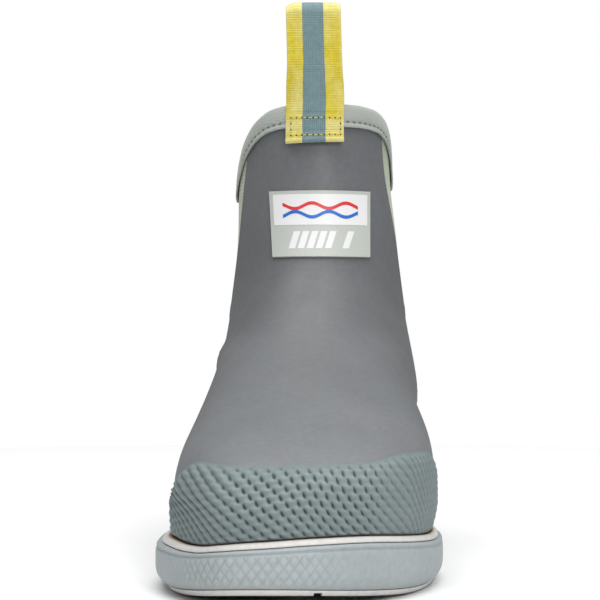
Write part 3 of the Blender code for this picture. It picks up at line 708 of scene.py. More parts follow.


# The upper's tones by height are painted light and shade: paler low down towards the toe, darker at mid
# height
UPPER_RUBBER = rubber_look("upper_rubber_grey", (0.132, 0.139, 0.146), 0.50, mottle=0.06,
                           dust=(0.20, 0.20, 0.205),
                           toe=((0.18, 1.30), (0.30, 1.02), (0.44, 0.85), (0.56, 0.86), (0.70, 1.0)))
# Its relief tones are painted shade in the slits and grooves and painted highlight on the scales' crests
SCALE_RUBBER = rubber_look("scale_rubber_teal", (0.158, 0.196, 0.198), 0.62, mottle=0.07,
                           relief=((0.24, 0.25, 0.26), (1.28, 1.26, 1.24)))
# Its relief tones are painted shade in hollows and painted highlight on crests and on the lip
FOXING_RUBBER = rubber_look("sidewall_rubber", (0.330, 0.366, 0.374), 0.58, mottle=0.04,
                            relief=((0.86, 0.87, 0.88), (1.08, 1.08, 1.07)))
CREAM_RUBBER = rubber_look("cream_sole_rubber", (0.62, 0.608, 0.585), 0.6, mottle=0.05,
                           stain=(0.24, 0.12, 0.06))
STAY_RUBBER = rubber_look("back_stay_rubber", (0.138, 0.140, 0.148), 0.52, mottle=0.05)
GORE_CLOTH = cloth_look("gore_elastic", (0.46, 0.50, 0.38), 0.85, 0.8, ribs=True)
BINDING_CLOTH = cloth_look("collar_sage", (0.405, 0.437, 0.402), 0.78, 0.7, ribs=True, strength=0.25)
LINING_CLOTH = cloth_look("lining_knit", (0.15, 0.165, 0.17), 0.92, 1.1, strength=0.8)
FOOTBED_CLOTH = cloth_look("footbed_textile", (0.09, 0.11, 0.12), 0.9, 0.9, ribs=True, strength=0.6)
WEBBING_CLOTH = webbing_look("striped_webbing")
GOLD_THREAD = plain_look("gold_thread", (0.62, 0.52, 0.16), 0.6, 900.0)
# Painted shade: dark dots standing in for the shadow inside the needle holes
PAINTED_HOLE_SHADE = plain_look("painted_hole_shadow", (0.05, 0.045, 0.02), 0.9, 900.0)
SAGE_THREAD = plain_look("sage_thread", (0.13, 0.15, 0.13), 0.7, 900.0)
LABEL_SAGE = plain_look("label_sage", (0.45, 0.475, 0.44), 0.45, 2600.0, strength=0.1, uneven=0.03)
LABEL_WHITE = plain_look("label_white", (0.72, 0.72, 0.72), 0.4, 2600.0, strength=0.1, uneven=0.02)
LABEL_RED = plain_look("label_red", (0.62, 0.03, 0.04), 0.4, 2600.0, strength=0.1, uneven=0.05)
LABEL_BLUE = plain_look("label_blue", (0.015, 0.13, 0.50), 0.4, 2600.0, strength=0.1, uneven=0.05)
FOAM = plain_look("midsole_foam", (0.72, 0.72, 0.69), 0.9, 1400.0, strength=0.6)
STEEL = plain_look("shank_steel", (0.52, 0.53, 0.55), 0.34, 300.0, 0.1, 1.0, (1, 0.05, 1))
FIBRE = plain_look("insole_board_fibre", (0.46, 0.36, 0.25), 0.86, 500.0, 0.5)
SHEETING = plain_look("stiffener_sheet", (0.29, 0.26, 0.21), 0.8, 650.0, 0.5)


# ---------------------------------------------------------------- the upper

def lengths(points, axis):
    """Running length in millimetres along one direction of a grid of points."""
    steps = np.linalg.norm(np.diff(points, axis=axis), axis=-1)
    zero = np.zeros_like(np.take(steps, [0], axis=axis))
    return np.cumsum(np.concatenate([zero, steps], axis=axis), axis=axis)


def settle(piece, body, slot, *nodes):
    """Sets the body and hides the CAD nodes that a piece stands for; slot is not used."""
    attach(piece, body)
    if nodes:
        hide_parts(*nodes)
    return piece


def make_upper():
    """The rubber upper: a fine grid that leaves two windows open for the gores."""
    step = 0.2
    edge = 0.07
    window = [FRONT_STEPS, FRONT_STEPS + GORE_STEPS]
    near = [w + d for w in window for d in (-3 * edge, -edge, edge)]
    columns = np.unique(np.round(np.concatenate([np.arange(0, HALF + step / 2, step), near]), 4))
    rows = np.unique(np.round(np.concatenate([
        np.arange(0, LOWER_ROWS, 0.25), LOWER_ROWS + np.array([-0.24, -0.08, 0.0, 0.08]),
        np.arange(LOWER_ROWS + 0.25, LOWER_ROWS + UPPER_ROWS + 0.01, 0.25)]), 4))
    turns, heights = upper_grid(columns, rows)
    one_side = (columns[:-1] >= window[0] - TOLERANCE) & (columns[:-1] < window[1] - TOLERANCE)
    open_columns = np.concatenate([one_side, one_side[::-1]])
    open_rows = rows[:-1] >= LOWER_ROWS - TOLERANCE
    cells = ~(open_columns[:, None] & open_rows[None, :])

    # A low rolled rim runs round each window, and its edge is rounded over
    mirrored = whole_round(columns)
    beside = np.minimum(np.abs(mirrored - window[0]), np.abs(mirrored - window[1]))
    within = (mirrored >= window[0] - TOLERANCE) & (mirrored <= window[1] + TOLERANCE)
    side_rim = np.where(within & (beside > TOLERANCE), 0.0, np.exp(-((beside / (2.2 * edge)) ** 2)))
    height_above = rows[None, :] - LOWER_ROWS
    along_side = side_rim[:, None] * (height_above > -0.3)
    along_floor = within[:, None] * np.exp(-((height_above / 0.2) ** 2)) * (height_above <= TOLERANCE)
    rim = 0.45 * np.maximum(along_side, along_floor)
    on_side = (beside[:, None] < TOLERANCE) & (height_above >= -TOLERANCE)
    on_floor = within[:, None] & (np.abs(height_above) < TOLERANCE)
    lip = np.where(on_side | on_floor, 0.5, 0.0)
    outer = offset_point(turns, heights, rim - lip)
    inner = offset_point(turns, heights, -RUBBER + 0.3 * lip)
    upper = solid_between("upper_rubber", outer, inner, UPPER_RUBBER, around=True, cells=cells, sharp=60.0)
    settle(upper, "root", "upper_rubber", "upper_shell")


def make_gore(name, side, cad_node):
    """A ribbed elastic panel, hung in its window."""
    share = np.linspace(0, 1, 181)
    rise = np.linspace(0, 1, 61)
    column = FRONT_STEPS + share * GORE_STEPS
    floor = gore_floor(column) + 0.5
    top = collar_height(side * column_turn(column, COLLAR_COLUMNS_Z)) - 1.0
    heights = floor[:, None] + (top - floor)[:, None] * rise
    front = gore_front_turn(heights) + 0.6
    turns = side * (front + (GORE_REAR_TURN - 0.6 - front) * share[:, None])
    # Ribs run up the panel, and the tension between its two edges draws it in a little
    rib = 0.5 + 0.5 * np.cos(2 * math.pi * GORE_RIBS * share)[:, None]
    rib = np.broadcast_to(rib ** 0.7, turns.shape)
    hollow = 0.5 * np.sin(math.pi * share)[:, None] * np.sin(math.pi * rise)
    outer = offset_point(turns, heights, -0.55 - hollow + 0.42 * rib)
    inner = offset_point(turns, heights, -RUBBER + 0.15 - 0.3 * hollow)
    # The rib values also carry painted shade: the grooves between the ribs are darkened
    gore = solid_between(name, outer, inner, GORE_CLOTH, attributes={"relief": rib})
    settle(gore, "root", "gore_elastic", cad_node)


def pressed(offset, turns):
    """The binding's offset from the rubber, less where it is stretched thin over the two side dips."""
    around = np.abs((turns + 180) % 360 - 180)
    dip = smoothstep(around, 60, 84) * (1 - smoothstep(around, 112, 136))
    return np.where(offset > GAP, GAP + (offset - GAP) * (1 - 0.42 * dip), offset)


def make_binding():
    """The folded binding, swept round the collar, and the row of stitches in its groove."""
    columns = np.arange(0, HALF + 0.01, 0.2)
    out = GAP + BINDING
    inside = -WALL - GAP
    bead = BINDING_BEAD
    bead_drop = BINDING_DEPTH - 2 * bead
    # The section, as (offset from the rubber, drop below the collar's top): a bead on the outer edge, the
    # groove with its stitching, over the top, and down the inside
    section = [(GAP, bead_drop)]
    for angle in np.radians([150, 110, 70, 30, -10, -50]):
        section.append((GAP + 0.1 + bead * (1 + math.cos(angle)), bead_drop + bead * math.sin(angle)))
    groove = bead_drop - 1.75
    section += [(out - 0.25, groove + 0.8), (out - 0.35, groove + 0.35), (out - 0.35, groove - 0.35),
                (out, groove - 1.1), (out + 0.12, 3.4), (out + 0.05, 1.6), (out - 0.1, 0.3),
                (out - 0.45, -0.7), (0.3, -1.35), (-0.8, -out - 0.05), (inside + 1.4, -out - 0.05),
                (inside + 0.4, -1.35),
                (inside - 0.5, -0.8), (inside - BINDING, 0.3), (inside - BINDING - 0.05, 3.0),
                (inside - BINDING, BINDING_DEPTH - 0.4), (inside - BINDING + 0.3, BINDING_DEPTH),
                (inside, BINDING_DEPTH), (inside, -GAP), (GAP, -GAP)]
    # Tones by place in the section, as painted shade: the bead is left pale and the groove is darkened
    shadow = {1: 0.75, 7: 0.5, 8: 0.35, 9: 0.35}
    rings = []
    tones = []
    for place_in, (offset, drop) in enumerate(section):
        below = max(drop, 0.0)
        turns, heights = collar_edge(columns, below)
        ring = offset_point(turns, heights, pressed(offset, turns))
        ring[:, 2] += below - drop
        rings.append(ring)
        tones.append(np.full(len(ring), 1.0 if 1 < place_in < 7 else shadow.get(place_in, 0.62)))
    trim = swept("collar_trim", rings, BINDING_CLOTH, {"relief": np.array(tones)}, sharp=70.0)
    settle(trim, "root", "collar_trim", "collar_binding")

    turns, heights = collar_edge(np.arange(0, HALF + 0.01, 0.05), groove)
    line = offset_point(turns, heights, pressed(out - 0.3, turns))
    walked = lengths(np.concatenate([line, line[:1]]), 0)
    pitch = walked[-1] / round(walked[-1] / BINDING_STITCH)
    sink = 0.22 * np.abs(np.linspace(-1, 1, 6)) ** 3
    unwound = np.unwrap(np.radians(turns))
    stitches = []
    for start in np.arange(0, walked[-1] - 1, pitch):
        at = start + np.linspace(0, 2.1, len(sink))
        spots = np.stack([np.interp(at, walked[:-1], line[:, k]) for k in range(3)], axis=1)
        turned = np.degrees(np.interp(at, walked[:-1], unwound))
        spots -= upper_normal(turned, np.full(len(sink), heights.mean())) * sink[:, None]
        stitches.append(spots)
    thread = threads("collar_stitches", stitches, BINDING_THREAD, SAGE_THREAD)
    settle(thread, "root", "collar_trim")


# The scales lie on a slanted lattice. These are its two steps, across and up in millimetres
SCALE_ALONG = np.array([2.67, -2.10])
SCALE_BESIDE = np.array([4.33, 0.95])
SLIT_SLOPE = math.radians(-60)


def scale_relief(across, up, turned=1.0, pits=1.0):
    """Scalloped ribs that run down and sideways, with slits: heights, and tones of painted shade in the slits
    and grooves and painted highlight on the crests.
    """
    swung = turned * across
    area = SCALE_ALONG[0] * SCALE_BESIDE[1] - SCALE_ALONG[1] * SCALE_BESIDE[0]
    p = (SCALE_BESIDE[1] * swung - SCALE_BESIDE[0] * up) / area
    q = (SCALE_ALONG[0] * up - SCALE_ALONG[1] * swung) / area
    near_p, near_q = p - np.round(p), q - np.round(q)
    side = near_p * SCALE_ALONG[0] + near_q * SCALE_BESIDE[0]
    rise = near_p * SCALE_ALONG[1] + near_q * SCALE_BESIDE[1]
    along_slit = side * math.cos(SLIT_SLOPE) + rise * math.sin(SLIT_SLOPE)
    across_slit = rise * math.cos(SLIT_SLOPE) - side * math.sin(SLIT_SLOPE)
    slit = np.exp(-(along_slit / 1.2) ** 2 - (across_slit / 0.42) ** 2)
    groove = 0.80 - 0.24 * pits
    rib = 1 - groove * (1 - (0.5 - 0.5 * np.cos(2 * math.pi * (q - 0.06))) ** 0.7)
    scallop = 0.5 - 0.5 * np.cos(2 * math.pi * (p - 0.12))
    height = rib * (1 - (0.24 + 0.14 * pits) * (1 - scallop)) - 0.60 * slit * pits
    # Painted light and shade: dark in the slits and grooves, pale on the crests
    tone = 0.10 + 0.90 * rib * (1 - (0.28 + 0.10 * pits) * (1 - scallop)) - 0.85 * slit * pits
    return height, np.clip(tone, 0, 1)


def make_toe_bumper():
    """The toe cap. Its scales follow the toe and fade out at its edges."""
    reach = 73.0
    turns = np.linspace(-reach, reach, 801)
    low = welt_height(turns) + 2 * GAP
    crest = smooth_curve([(-73, 25), (-66, 29), (-60, 34), (-52, 41.5), (-44, 47.6), (-30, 51.8), (0, 51.4),
                          (26, 51.4), (40, 53.6), (52, 53.4), (60, 51), (66, 45.5), (73, 31)])(turns)
    rows = np.linspace(0, 1, 131)
    heights = low[:, None] + (crest - low)[:, None] * rows
    around = np.broadcast_to(turns[:, None], heights.shape)
    face = offset_point(around, heights, 1.0)
    walked = lengths(face, 0)
    across = walked - walked[np.searchsorted(turns, 0)]
    up = heights - 24
    to_top = (crest[:, None] - heights) * 1.1
    to_end = np.minimum(walked, walked[-1:] - walked)
    to_low = heights - low[:, None]
    fade = smoothstep(to_top, 0.3, 4.0) * smoothstep(to_end, 0.5, 12) * smoothstep(to_low, -0.5, 1)
    # The ribs lie down towards the inner side near the crest and turn steeper towards the outer side
    inner_reach = np.clip(-across, 0, None)
    outer_reach = np.clip(across - 18, 0, 60)
    widening = 24 + 50 * (1 - smoothstep(up, 2, 16))
    swung = (np.maximum(across, 0) - 0.004 * outer_reach ** 2
             - 0.75 * widening * (1 - np.exp(-inner_reach / widening)) - 0.25 * inner_reach)
    dipped = up + 0.20 * (across - 8) * smoothstep(across, 8, 40)
    # The slits are deepest from the toe's middle to its outer side, and fade to both sides and downwards
    deep = smoothstep(across, -16, 4) * (1 - smoothstep(across, 44, 66))
    deep = deep * (0.45 + 0.55 * smoothstep(up, 4, 14))
    relief, tone = scale_relief(swung, dipped, 1.0, 0.15 + 0.85 * deep)
    strong = fade * (1 - 0.45 * smoothstep(across, 46, 66))
    base = 0.30 + 0.45 * smoothstep(to_top, 0, 3.5) * smoothstep(to_end, 0, 10)
    outer = offset_point(around, heights, base + TOE_RELIEF * strong * relief)
    inner = offset_point(around, heights, 0.2 * GAP)
    # Painted shade in the slits and grooves and painted highlight on the crests, fading where the relief
    # fades
    painted_light_tone = 0.45 + (tone - 0.45) * np.sqrt(strong)
    bumper = solid_between("toe_bumper", outer, inner, SCALE_RUBBER, attributes={"relief": painted_light_tone}, sharp=80.0)
    settle(bumper, "root", "scale_rubber", "toe_cap")


def make_heel_bumper():
    """The heel guard: the same scales the other way round, below a kick ledge."""
    spread = HEEL_GUARD_SPREAD - 1.5
    turns = 180 + np.linspace(-spread, spread, 401)
    low = welt_height(turns) + 2 * GAP
    rise = np.sqrt(1 - (np.abs(turns - 180) / HEEL_GUARD_SPREAD) ** 4)
    high = low + (HEEL_GUARD_TOP - low) * rise
    share = np.linspace(0, 1, 81)
    heights = low[:, None] + (high - low)[:, None] * share
    around = np.broadcast_to(turns[:, None], heights.shape)
    ledge = KICK_LEDGE * np.cos(np.radians((turns - 180) * 1.6)) ** 2
    ledge_shape = np.interp(share, [0, 0.5, 0.68, 0.78, 0.86, 0.92, 0.97, 1],
                            [0, 0, 0.12, 0.7, 0.98, 1, 0.9, 0.55])
    face = offset_point(around, heights, 1.0)
    walked = lengths(face, 0)
    across = walked - walked[len(turns) // 2]
    up = lengths(face, 1)
    to_top = up[:, -1:] - up
    to_end = np.minimum(walked, walked[-1:] - walked)
    below_ledge = 1 - smoothstep(share, 0.56, 0.68)
    fade = below_ledge * smoothstep(to_end, 0.2, 4.0) * smoothstep(to_top, 0.2, 2.5)
    relief, painted_light_tone = scale_relief(across, up, -1.0, 0.8)
    base = GAP + 0.15 + 0.55 * smoothstep(to_top, 0, 1.2) * smoothstep(to_end, 0, 2.5)
    outer = offset_point(around, heights, base + HEEL_RELIEF * fade * relief + ledge[:, None] * ledge_shape)
    inner = offset_point(around, heights, 0.5 * GAP)
    # Painted shade in the hollows and painted highlight on the crests, fading where the relief fades
    tone = 0.45 + (painted_light_tone - 0.45) * fade
    bumper = solid_between("heel_bumper", outer, inner, SCALE_RUBBER, attributes={"relief": tone}, sharp=80.0)
    settle(bumper, "root", "scale_rubber", "heel_guard")


def patch(name, xs, zs, near, far, look, rear=False, edge=0.0, attributes=None):
    """A patch over grids of x and z seen from the front or rear, with its edge rounded over if asked."""
    turns = turn_at(xs, zs, rear)
    far = np.broadcast_to(far, turns.shape).astype(float).copy()
    if edge:
        for k, drop in enumerate((edge, edge * 0.3)):
            for line in (far[k], far[-1 - k], far[:, k], far[:, -1 - k]):
                line[:] = np.minimum(line, np.max(far) - drop)
    outer = offset_point(turns, zs, far)
    inner = offset_point(turns, zs, near)
    return solid_between(name, outer, inner, look, attributes=attributes)


def finer_edges(half, count, edge):
    """Places from -half to half, closer at both ends so that the edges can be rounded."""
    inside = np.linspace(-half + edge, half - edge, count)
    return np.concatenate([[-half, -half + edge * 0.35], inside, [half - edge * 0.35, half]])


def make_back_stay():
    """The strip over the back line, from the heel guard up to the collar's binding."""
    xs = REAR_STRAP_X + finer_edges(BACK_STAY_WIDTH / 2, 31, 0.8)
    top = float(collar_height(150)) - BINDING_DEPTH - 1.5
    zs = (HEEL_GUARD_TOP + 1.0 + top) / 2 + finer_edges((top - HEEL_GUARD_TOP - 1.0) / 2, 81, 0.8)
    xs, zs = np.meshgrid(xs, zs, indexing="ij")
    stay = patch("back_stay_strip", xs, zs, GAP * 0.3, GAP + 1.0, STAY_RUBBER, rear=True, edge=0.55)
    settle(stay, "root", "upper_rubber", "back_stay")


LABEL_WIDTH = 43.6
LABEL_HEIGHT = 29.5
LABEL_X = 9.1
LABEL_Z = 145.8


def label_place(u, v):
    """Seen-from-the-front x and z of a place on the label, where u and v run from 0 to 1."""
    z = LABEL_Z + (v - 0.5) * LABEL_HEIGHT
    x = LABEL_X + (u - 0.5) * LABEL_WIDTH * (1 - 0.045 * (1 - v)) + 0.022 * (LABEL_Z - z)
    return x, z


def label_strip(name, u, low, high, near, far, look, rows=3):
    """A thin printed strip on the label between two lines v = low(u) and v = high(u)."""
    u = np.asarray(u, float)
    share = np.linspace(0, 1, rows)
    v = low(u)[:, None] + (high(u) - low(u))[:, None] * share
    x, z = label_place(np.broadcast_to(u[:, None], v.shape), v)
    return patch(name, x, z, near, far, look)


def make_label():
    """The label: a sage film, a white field with two wave lines, and slanted bars."""
    def level(v):
        return lambda u: np.full_like(u, v)

    def wave(v, count, phase):
        return lambda u: v + 0.042 * np.sin(2 * math.pi * (count * u + phase))

    near = 0.2
    film = 2 * GAP + 0.55
    base = label_strip("label_film", np.linspace(0, 1, 61), level(0), level(1), near, film, LABEL_SAGE, 31)
    settle(base, "root", "label_film", "label_patch")
    face = film + 0.12
    panel = label_strip("label_panel", np.linspace(0.038, 0.966, 61), level(0.475), level(0.945), film - 0.1,
                        face, LABEL_WHITE, 21)
    settle(panel, "root", "label_film")
    reach = np.linspace(0.13, 0.87, 121)
    thick = 0.026
    for name, v, phase, look in (("label_wave_red", 0.765, 0.0, LABEL_RED),
                                 ("label_wave_blue", 0.635, 0.5, LABEL_BLUE)):
        low = wave(v - thick, 3.0, phase)
        high = wave(v + thick, 3.0, phase)
        strip = label_strip(name, reach, low, high, face - 0.05, face + 0.08, look)
        settle(strip, "root", "label_film")
    share = np.linspace(0, 1, 25)
    for k, start in enumerate((0.20, 0.29, 0.38, 0.47, 0.56, 0.74)):
        us = start + 0.065 * share[:, None] + 0.06 * share[None, :] - 0.03
        x, z = label_place(us, np.broadcast_to(0.12 + 0.26 * share[None, :], us.shape))
        bar = patch(f"label_bar_{k}", x, z, film - 0.05, film + 0.08, LABEL_WHITE)
        settle(bar, "root", "label_film")


# ---------------------------------------------------------------- the sole

def make_foxing():
    """The sidewall: its profile swept round the sole, with the lattice of diamonds at the toe."""
    half = 640
    turns = sole_turns(half)
    lift = toe_lift(sole_ring(turns, 0, 0)[:, 1])
    bottom = lift + OUTSOLE_EDGE + GAP
    top = welt_height(turns) - WELT_STRIP - GAP
    tall = top - bottom
    # The profile from the bottom edge up to the lip, by share of the height
    bulge = smooth_curve([(0, 2.6), (0.05, 3.6), (0.13, 4.6), (0.3, 5.6), (0.45, FOXING_BULGE),
                          (0.7, FOXING_BULGE), (0.84, 5.65), (0.88, 5.3), (0.915, 5.3), (0.94, 5.5),
                          (0.975, 5.25), (1.0, FOXING_LIP)])
    share = np.concatenate([[0, 0.015], np.linspace(0.04, 0.84, 27), [0.86, 0.875, 0.89, 0.905, 0.92],
                            [0.94, 0.96, 0.98, 0.993, 1.0]])
    middle = sole_ring(turns, FOXING_BULGE, 0)
    # Distance walked from the toe, which counts down from zero on the inner side
    walked = lengths(middle[:, None, :], 0)[:, 0]
    whole = walked[-1] + np.linalg.norm(middle[0] - middle[-1])
    walked = np.where(np.arange(len(turns)) < half, walked, walked - whole)
    at_toe = middle[:, 1] < -60
    spread = smoothstep(middle[:, 0], -47, -40) * (1 - smoothstep(middle[:, 0], 4, 22)) * at_toe
    # Tones here are painted light and shade: the edge rings, where the sidewall tucks in, are darkened
    rings = [sole_ring(turns, 0.4 * GAP, bottom), sole_ring(turns, 1.5, bottom)]
    tones = [np.full(len(turns), 0.2)] * 2
    for s in share:
        up = s * tall
        # Diamonds that stand up between two crossing families of grooves
        a = (walked / DIAMOND_WIDE + up / DIAMOND_TALL) % 1.0
        b = (walked / DIAMOND_WIDE - up / DIAMOND_TALL) % 1.0
        ridge = 1 - np.maximum(np.abs(2 * a - 1), np.abs(2 * b - 1)) ** 2.6
        fade = spread * smoothstep(s, 0.03, 0.10) * (1 - smoothstep(s, 0.80, 0.86))
        plain = sole_ring(turns, float(bulge(s)), bottom + up)
        push = sole_ring(turns, float(bulge(s)) + 0.5, bottom + up) - plain
        rings.append(plain + push * (DIAMOND_RELIEF * (ridge - 0.5) * fade)[:, None])
        # Painted light and shade: the diamonds' crests are paler and the grooves between them darker, the
        # groove under the lip is darkened and the lip is painted paler
        groove = 0.5 * smoothstep(s, 0.85, 0.88) * (1 - smoothstep(s, 0.905, 0.93))
        tones.append(0.45 + (ridge - 0.45) * fade - groove + 0.25 * smoothstep(s, 0.93, 0.96))
    rings += [sole_ring(turns, 1.5, top), sole_ring(turns, 0.4 * GAP, top)]
    tones += [np.full(len(turns), 0.2)] * 2
    sidewall = swept("sidewall", rings, FOXING_RUBBER, {"relief": np.array(tones)}, sharp=70.0)
    settle(sidewall, "root", "grey_sidewall_rubber", "foxing_tape")


def make_welt():
    """The cream strip above the sidewall, stained brown where it meets the rubber."""
    turns = sole_turns(300)
    low = welt_height(turns) - WELT_STRIP - 0.5 * GAP
    profile = [(0.3, 0), (FOXING_LIP - 1.2, 0), (FOXING_LIP - 0.85, 0.35), (FOXING_LIP - 0.9, 0.9),
               (FOXING_LIP - 1.3, 1.5), (2.7, 1.95), (2.1, 2.2), (1.6, 2.35), (1.1, 2.3), (0.3, 2.2)]
    rings = [sole_ring(turns, offset, low + up) for offset, up in profile]
    stains = [0.0, 0.2, 0.0, 0.0, 0.0, 0.0, 0.15, 0.9, 1.0, 1.0]
    tones = np.repeat(np.array(stains)[:, None], len(turns), axis=1)
    welt = swept("welt", rings, CREAM_RUBBER, {"stain": tones})
    settle(welt, "root", "cream_rubber", "welt_strip")


def flat_bar(line, width, bottom, top):
    """Points and faces of a flat bar along (x, y) points, between two heights given as functions of y."""
    line = np.array(line, float)
    along = np.gradient(line, axis=0)
    along /= np.linalg.norm(along, axis=1, keepdims=True)
    across = np.column_stack([along[:, 1], -along[:, 0]]) * width / 2
    sides = np.stack([line - across, line + across])
    upper = np.concatenate([sides, top(sides[..., 1])[..., None]], axis=-1)
    lower = np.concatenate([sides, bottom(sides[..., 1])[..., None]], axis=-1)
    return np.concatenate([upper.reshape(-1, 3), lower.reshape(-1, 3)]), solid_faces(2, len(line))


def make_outsole():
    """The tread: a rounded slab, cut by swept channels and by one drain that opens at the toe."""
    turns = sole_turns(300)
    lift = toe_lift(sole_ring(turns, 0, 0)[:, 1])
    profile = [(-0.6, 0.0), (0.5, 0.12), (1.2, 0.45), (1.8, 0.95), (2.15, 1.6), (2.2, OUTSOLE_EDGE - 0.1),
               (2.0, OUTSOLE_EDGE), (-0.5 * GAP, OUTSOLE_EDGE), (-GAP, OUTSOLE)]
    rings = [sole_ring(turns, offset, lift + up) for offset, up in profile]
    tones = np.zeros((len(rings), len(turns)))
    outsole = lofted("outsole_tread", rings, CREAM_RUBBER, {"stain": tones})

    sweep = math.tan(math.radians(CHEVRON_SWEEP))

    def drain_x(y):
        return float(np.interp(y, [-130, -60, 30], [DRAIN_TOE_X, 4.5, SHAFT_X + DRAIN_SHIFT]))

    def below_ground(y):
        return np.full_like(y, -3.0)

    def channel_top(y):
        return toe_lift(y) + CHANNEL_DEPTH

    cutters = []
    for apex in np.arange(-118, 122, CHEVRON_PITCH):
        middle = drain_x(apex)
        line = [(middle, apex)]
        turn = math.degrees(math.acos(-apex / SOLE_HALF_LENGTH))
        for side in (-1, 1):
            edge = float(upper_point(side * turn, WELT_Z)[0])
            reach = max(abs(edge - middle) - CHANNEL_MARGIN, CHANNEL_MARGIN)
            line.insert(0 if side < 0 else 2, (middle + side * reach, apex + reach * sweep))
        cutters.append((line, CHANNEL_WIDTH, channel_top))
    drain = [(drain_x(y), y) for y in (-160, -130, -110, -90, -60, -20, 30, 80, 118)]
    cutters.append((drain, DRAIN_WIDTH, lambda y: channel_top(y) - 0.5 - 0.6 * smoothstep(-y, 118, 140)))
    made = []
    for k, (line, width, top) in enumerate(cutters):
        cutter = mesh_object(f"channel_cutter_{k}", *flat_bar(line, width, below_ground, top), CREAM_RUBBER)
        modifier = outsole.modifiers.new(cutter.name, "BOOLEAN")
        modifier.operation = "DIFFERENCE"
        modifier.object = cutter
        made.append(cutter)
    bpy.context.view_layer.update()
    cut = bpy.data.meshes.new_from_object(outsole.evaluated_get(bpy.context.evaluated_depsgraph_get()))
    outsole.modifiers.clear()
    outsole.data = cut
    for cutter in made:
        bpy.data.objects.remove(cutter)
    settle(outsole, "root", "cream_rubber", "outsole")


# ---------------------------------------------------------------- the inside

def make_lining():
    """The sock, which is fine knit with a thin edge under the collar. It leaves room for the stiffeners."""
    columns = np.arange(0, HALF + 0.01, 0.2)
    rows = np.concatenate([[0.0], np.arange(0.25, LOWER_ROWS + UPPER_ROWS + 0.01, 0.25)])
    turns, heights = upper_grid(columns, rows)
    mirrored = whole_round(columns)
    row = rows[None, :]
    toe = (1 - smoothstep(mirrored, 7, 8.2))[:, None] * (1 - smoothstep(row, 7, 8.2))
    heel = smoothstep(mirrored, HALF - 7.2, HALF - 6)[:, None] * (1 - smoothstep(row, 9, 10.2))
    room = (STIFFENER + GAP) * np.maximum(toe, heel)
    sole = heights[:, 0] + BOARD + GAP
    heights[:, 0] = sole
    outer = offset_point(turns, heights, -RUBBER - GAP - room)
    outer[:, 0, 2] = sole
    heights[:, 0] = sole + 1.5
    inner = offset_point(turns, heights, -WALL - room)
    inner[:, 0, 2] = sole + 1.5
    rings = [outer[:, k] for k in range(len(rows))] + [inner[:, k] for k in reversed(range(len(rows)))]
    lining = lofted("sock_lining", rings, LINING_CLOTH, sharp=70.0)
    settle(lining, "root", "lining_knit", "bootie_lining")


def make_footbed():
    """A moulded insole: rounded edge, cupped heel, an arch on the inner side and rows of small dimples."""
    turns = sole_turns(180)
    board = board_height(turns)
    bed = board + BOARD + GAP + 1.5 + GAP
    edge = -(WALL + STIFFENER + GAP + 3 * GAP)
    shape = board + BOARD
    outline = sole_ring(turns, 0, 0)
    cup = 5.0 * smoothstep(outline[:, 1], -20, 60)
    arch = 3.0 * smoothstep(-outline[:, 0], 5, 30) * np.exp(-((outline[:, 1] - 10) / 45) ** 2)
    top = bed + FOOTBED + cup
    rings = [sole_ring(turns, edge - 1.5, bed, shape), sole_ring(turns, edge - 0.4, bed + 0.7, shape),
             sole_ring(turns, edge, bed + 2.2, shape), sole_ring(turns, edge, top - 1.6, shape),
             sole_ring(turns, edge - 0.35, top - 0.6, shape), sole_ring(turns, edge - 1.1, top - 0.1, shape),
             sole_ring(turns, edge - 1.9, top - 0.05, shape)]
    tones = [np.full(len(turns), 1.0)] * len(rings)
    rim = sole_ring(turns, edge - 1.9, 0, shape)[:, :2]
    spine = np.column_stack([ridge_x(rim[:, 1]), np.clip(rim[:, 1], -105, 108)])
    for share in np.linspace(0.06, 0.985, 44):
        flat = rim + (spine - rim) * share
        dip = cup * (1 - smoothstep(share, 0.0, 0.35)) + arch * (1 - smoothstep(share, 0.05, 0.75))
        z = bed + FOOTBED + dip + 0.6 * (1 - share) * (share < 0.9)
        waves = np.cos(flat * math.pi / DIMPLE_PITCH)
        dimple = smoothstep(waves[:, 0] * waves[:, 1], 0.3, 0.9)
        rings.append(np.column_stack([flat, z - 0.35 * dimple]))
        # Painted shade: the dimples are darkened
        tones.append(1 - 0.8 * dimple)
    footbed = lofted("footbed_insole", rings, FOOTBED_CLOTH, {"relief": np.array(tones)}, sharp=60.0)
    settle(footbed, "root", "footbed_textile", "footbed")


# ---------------------------------------------------------------- the pull straps

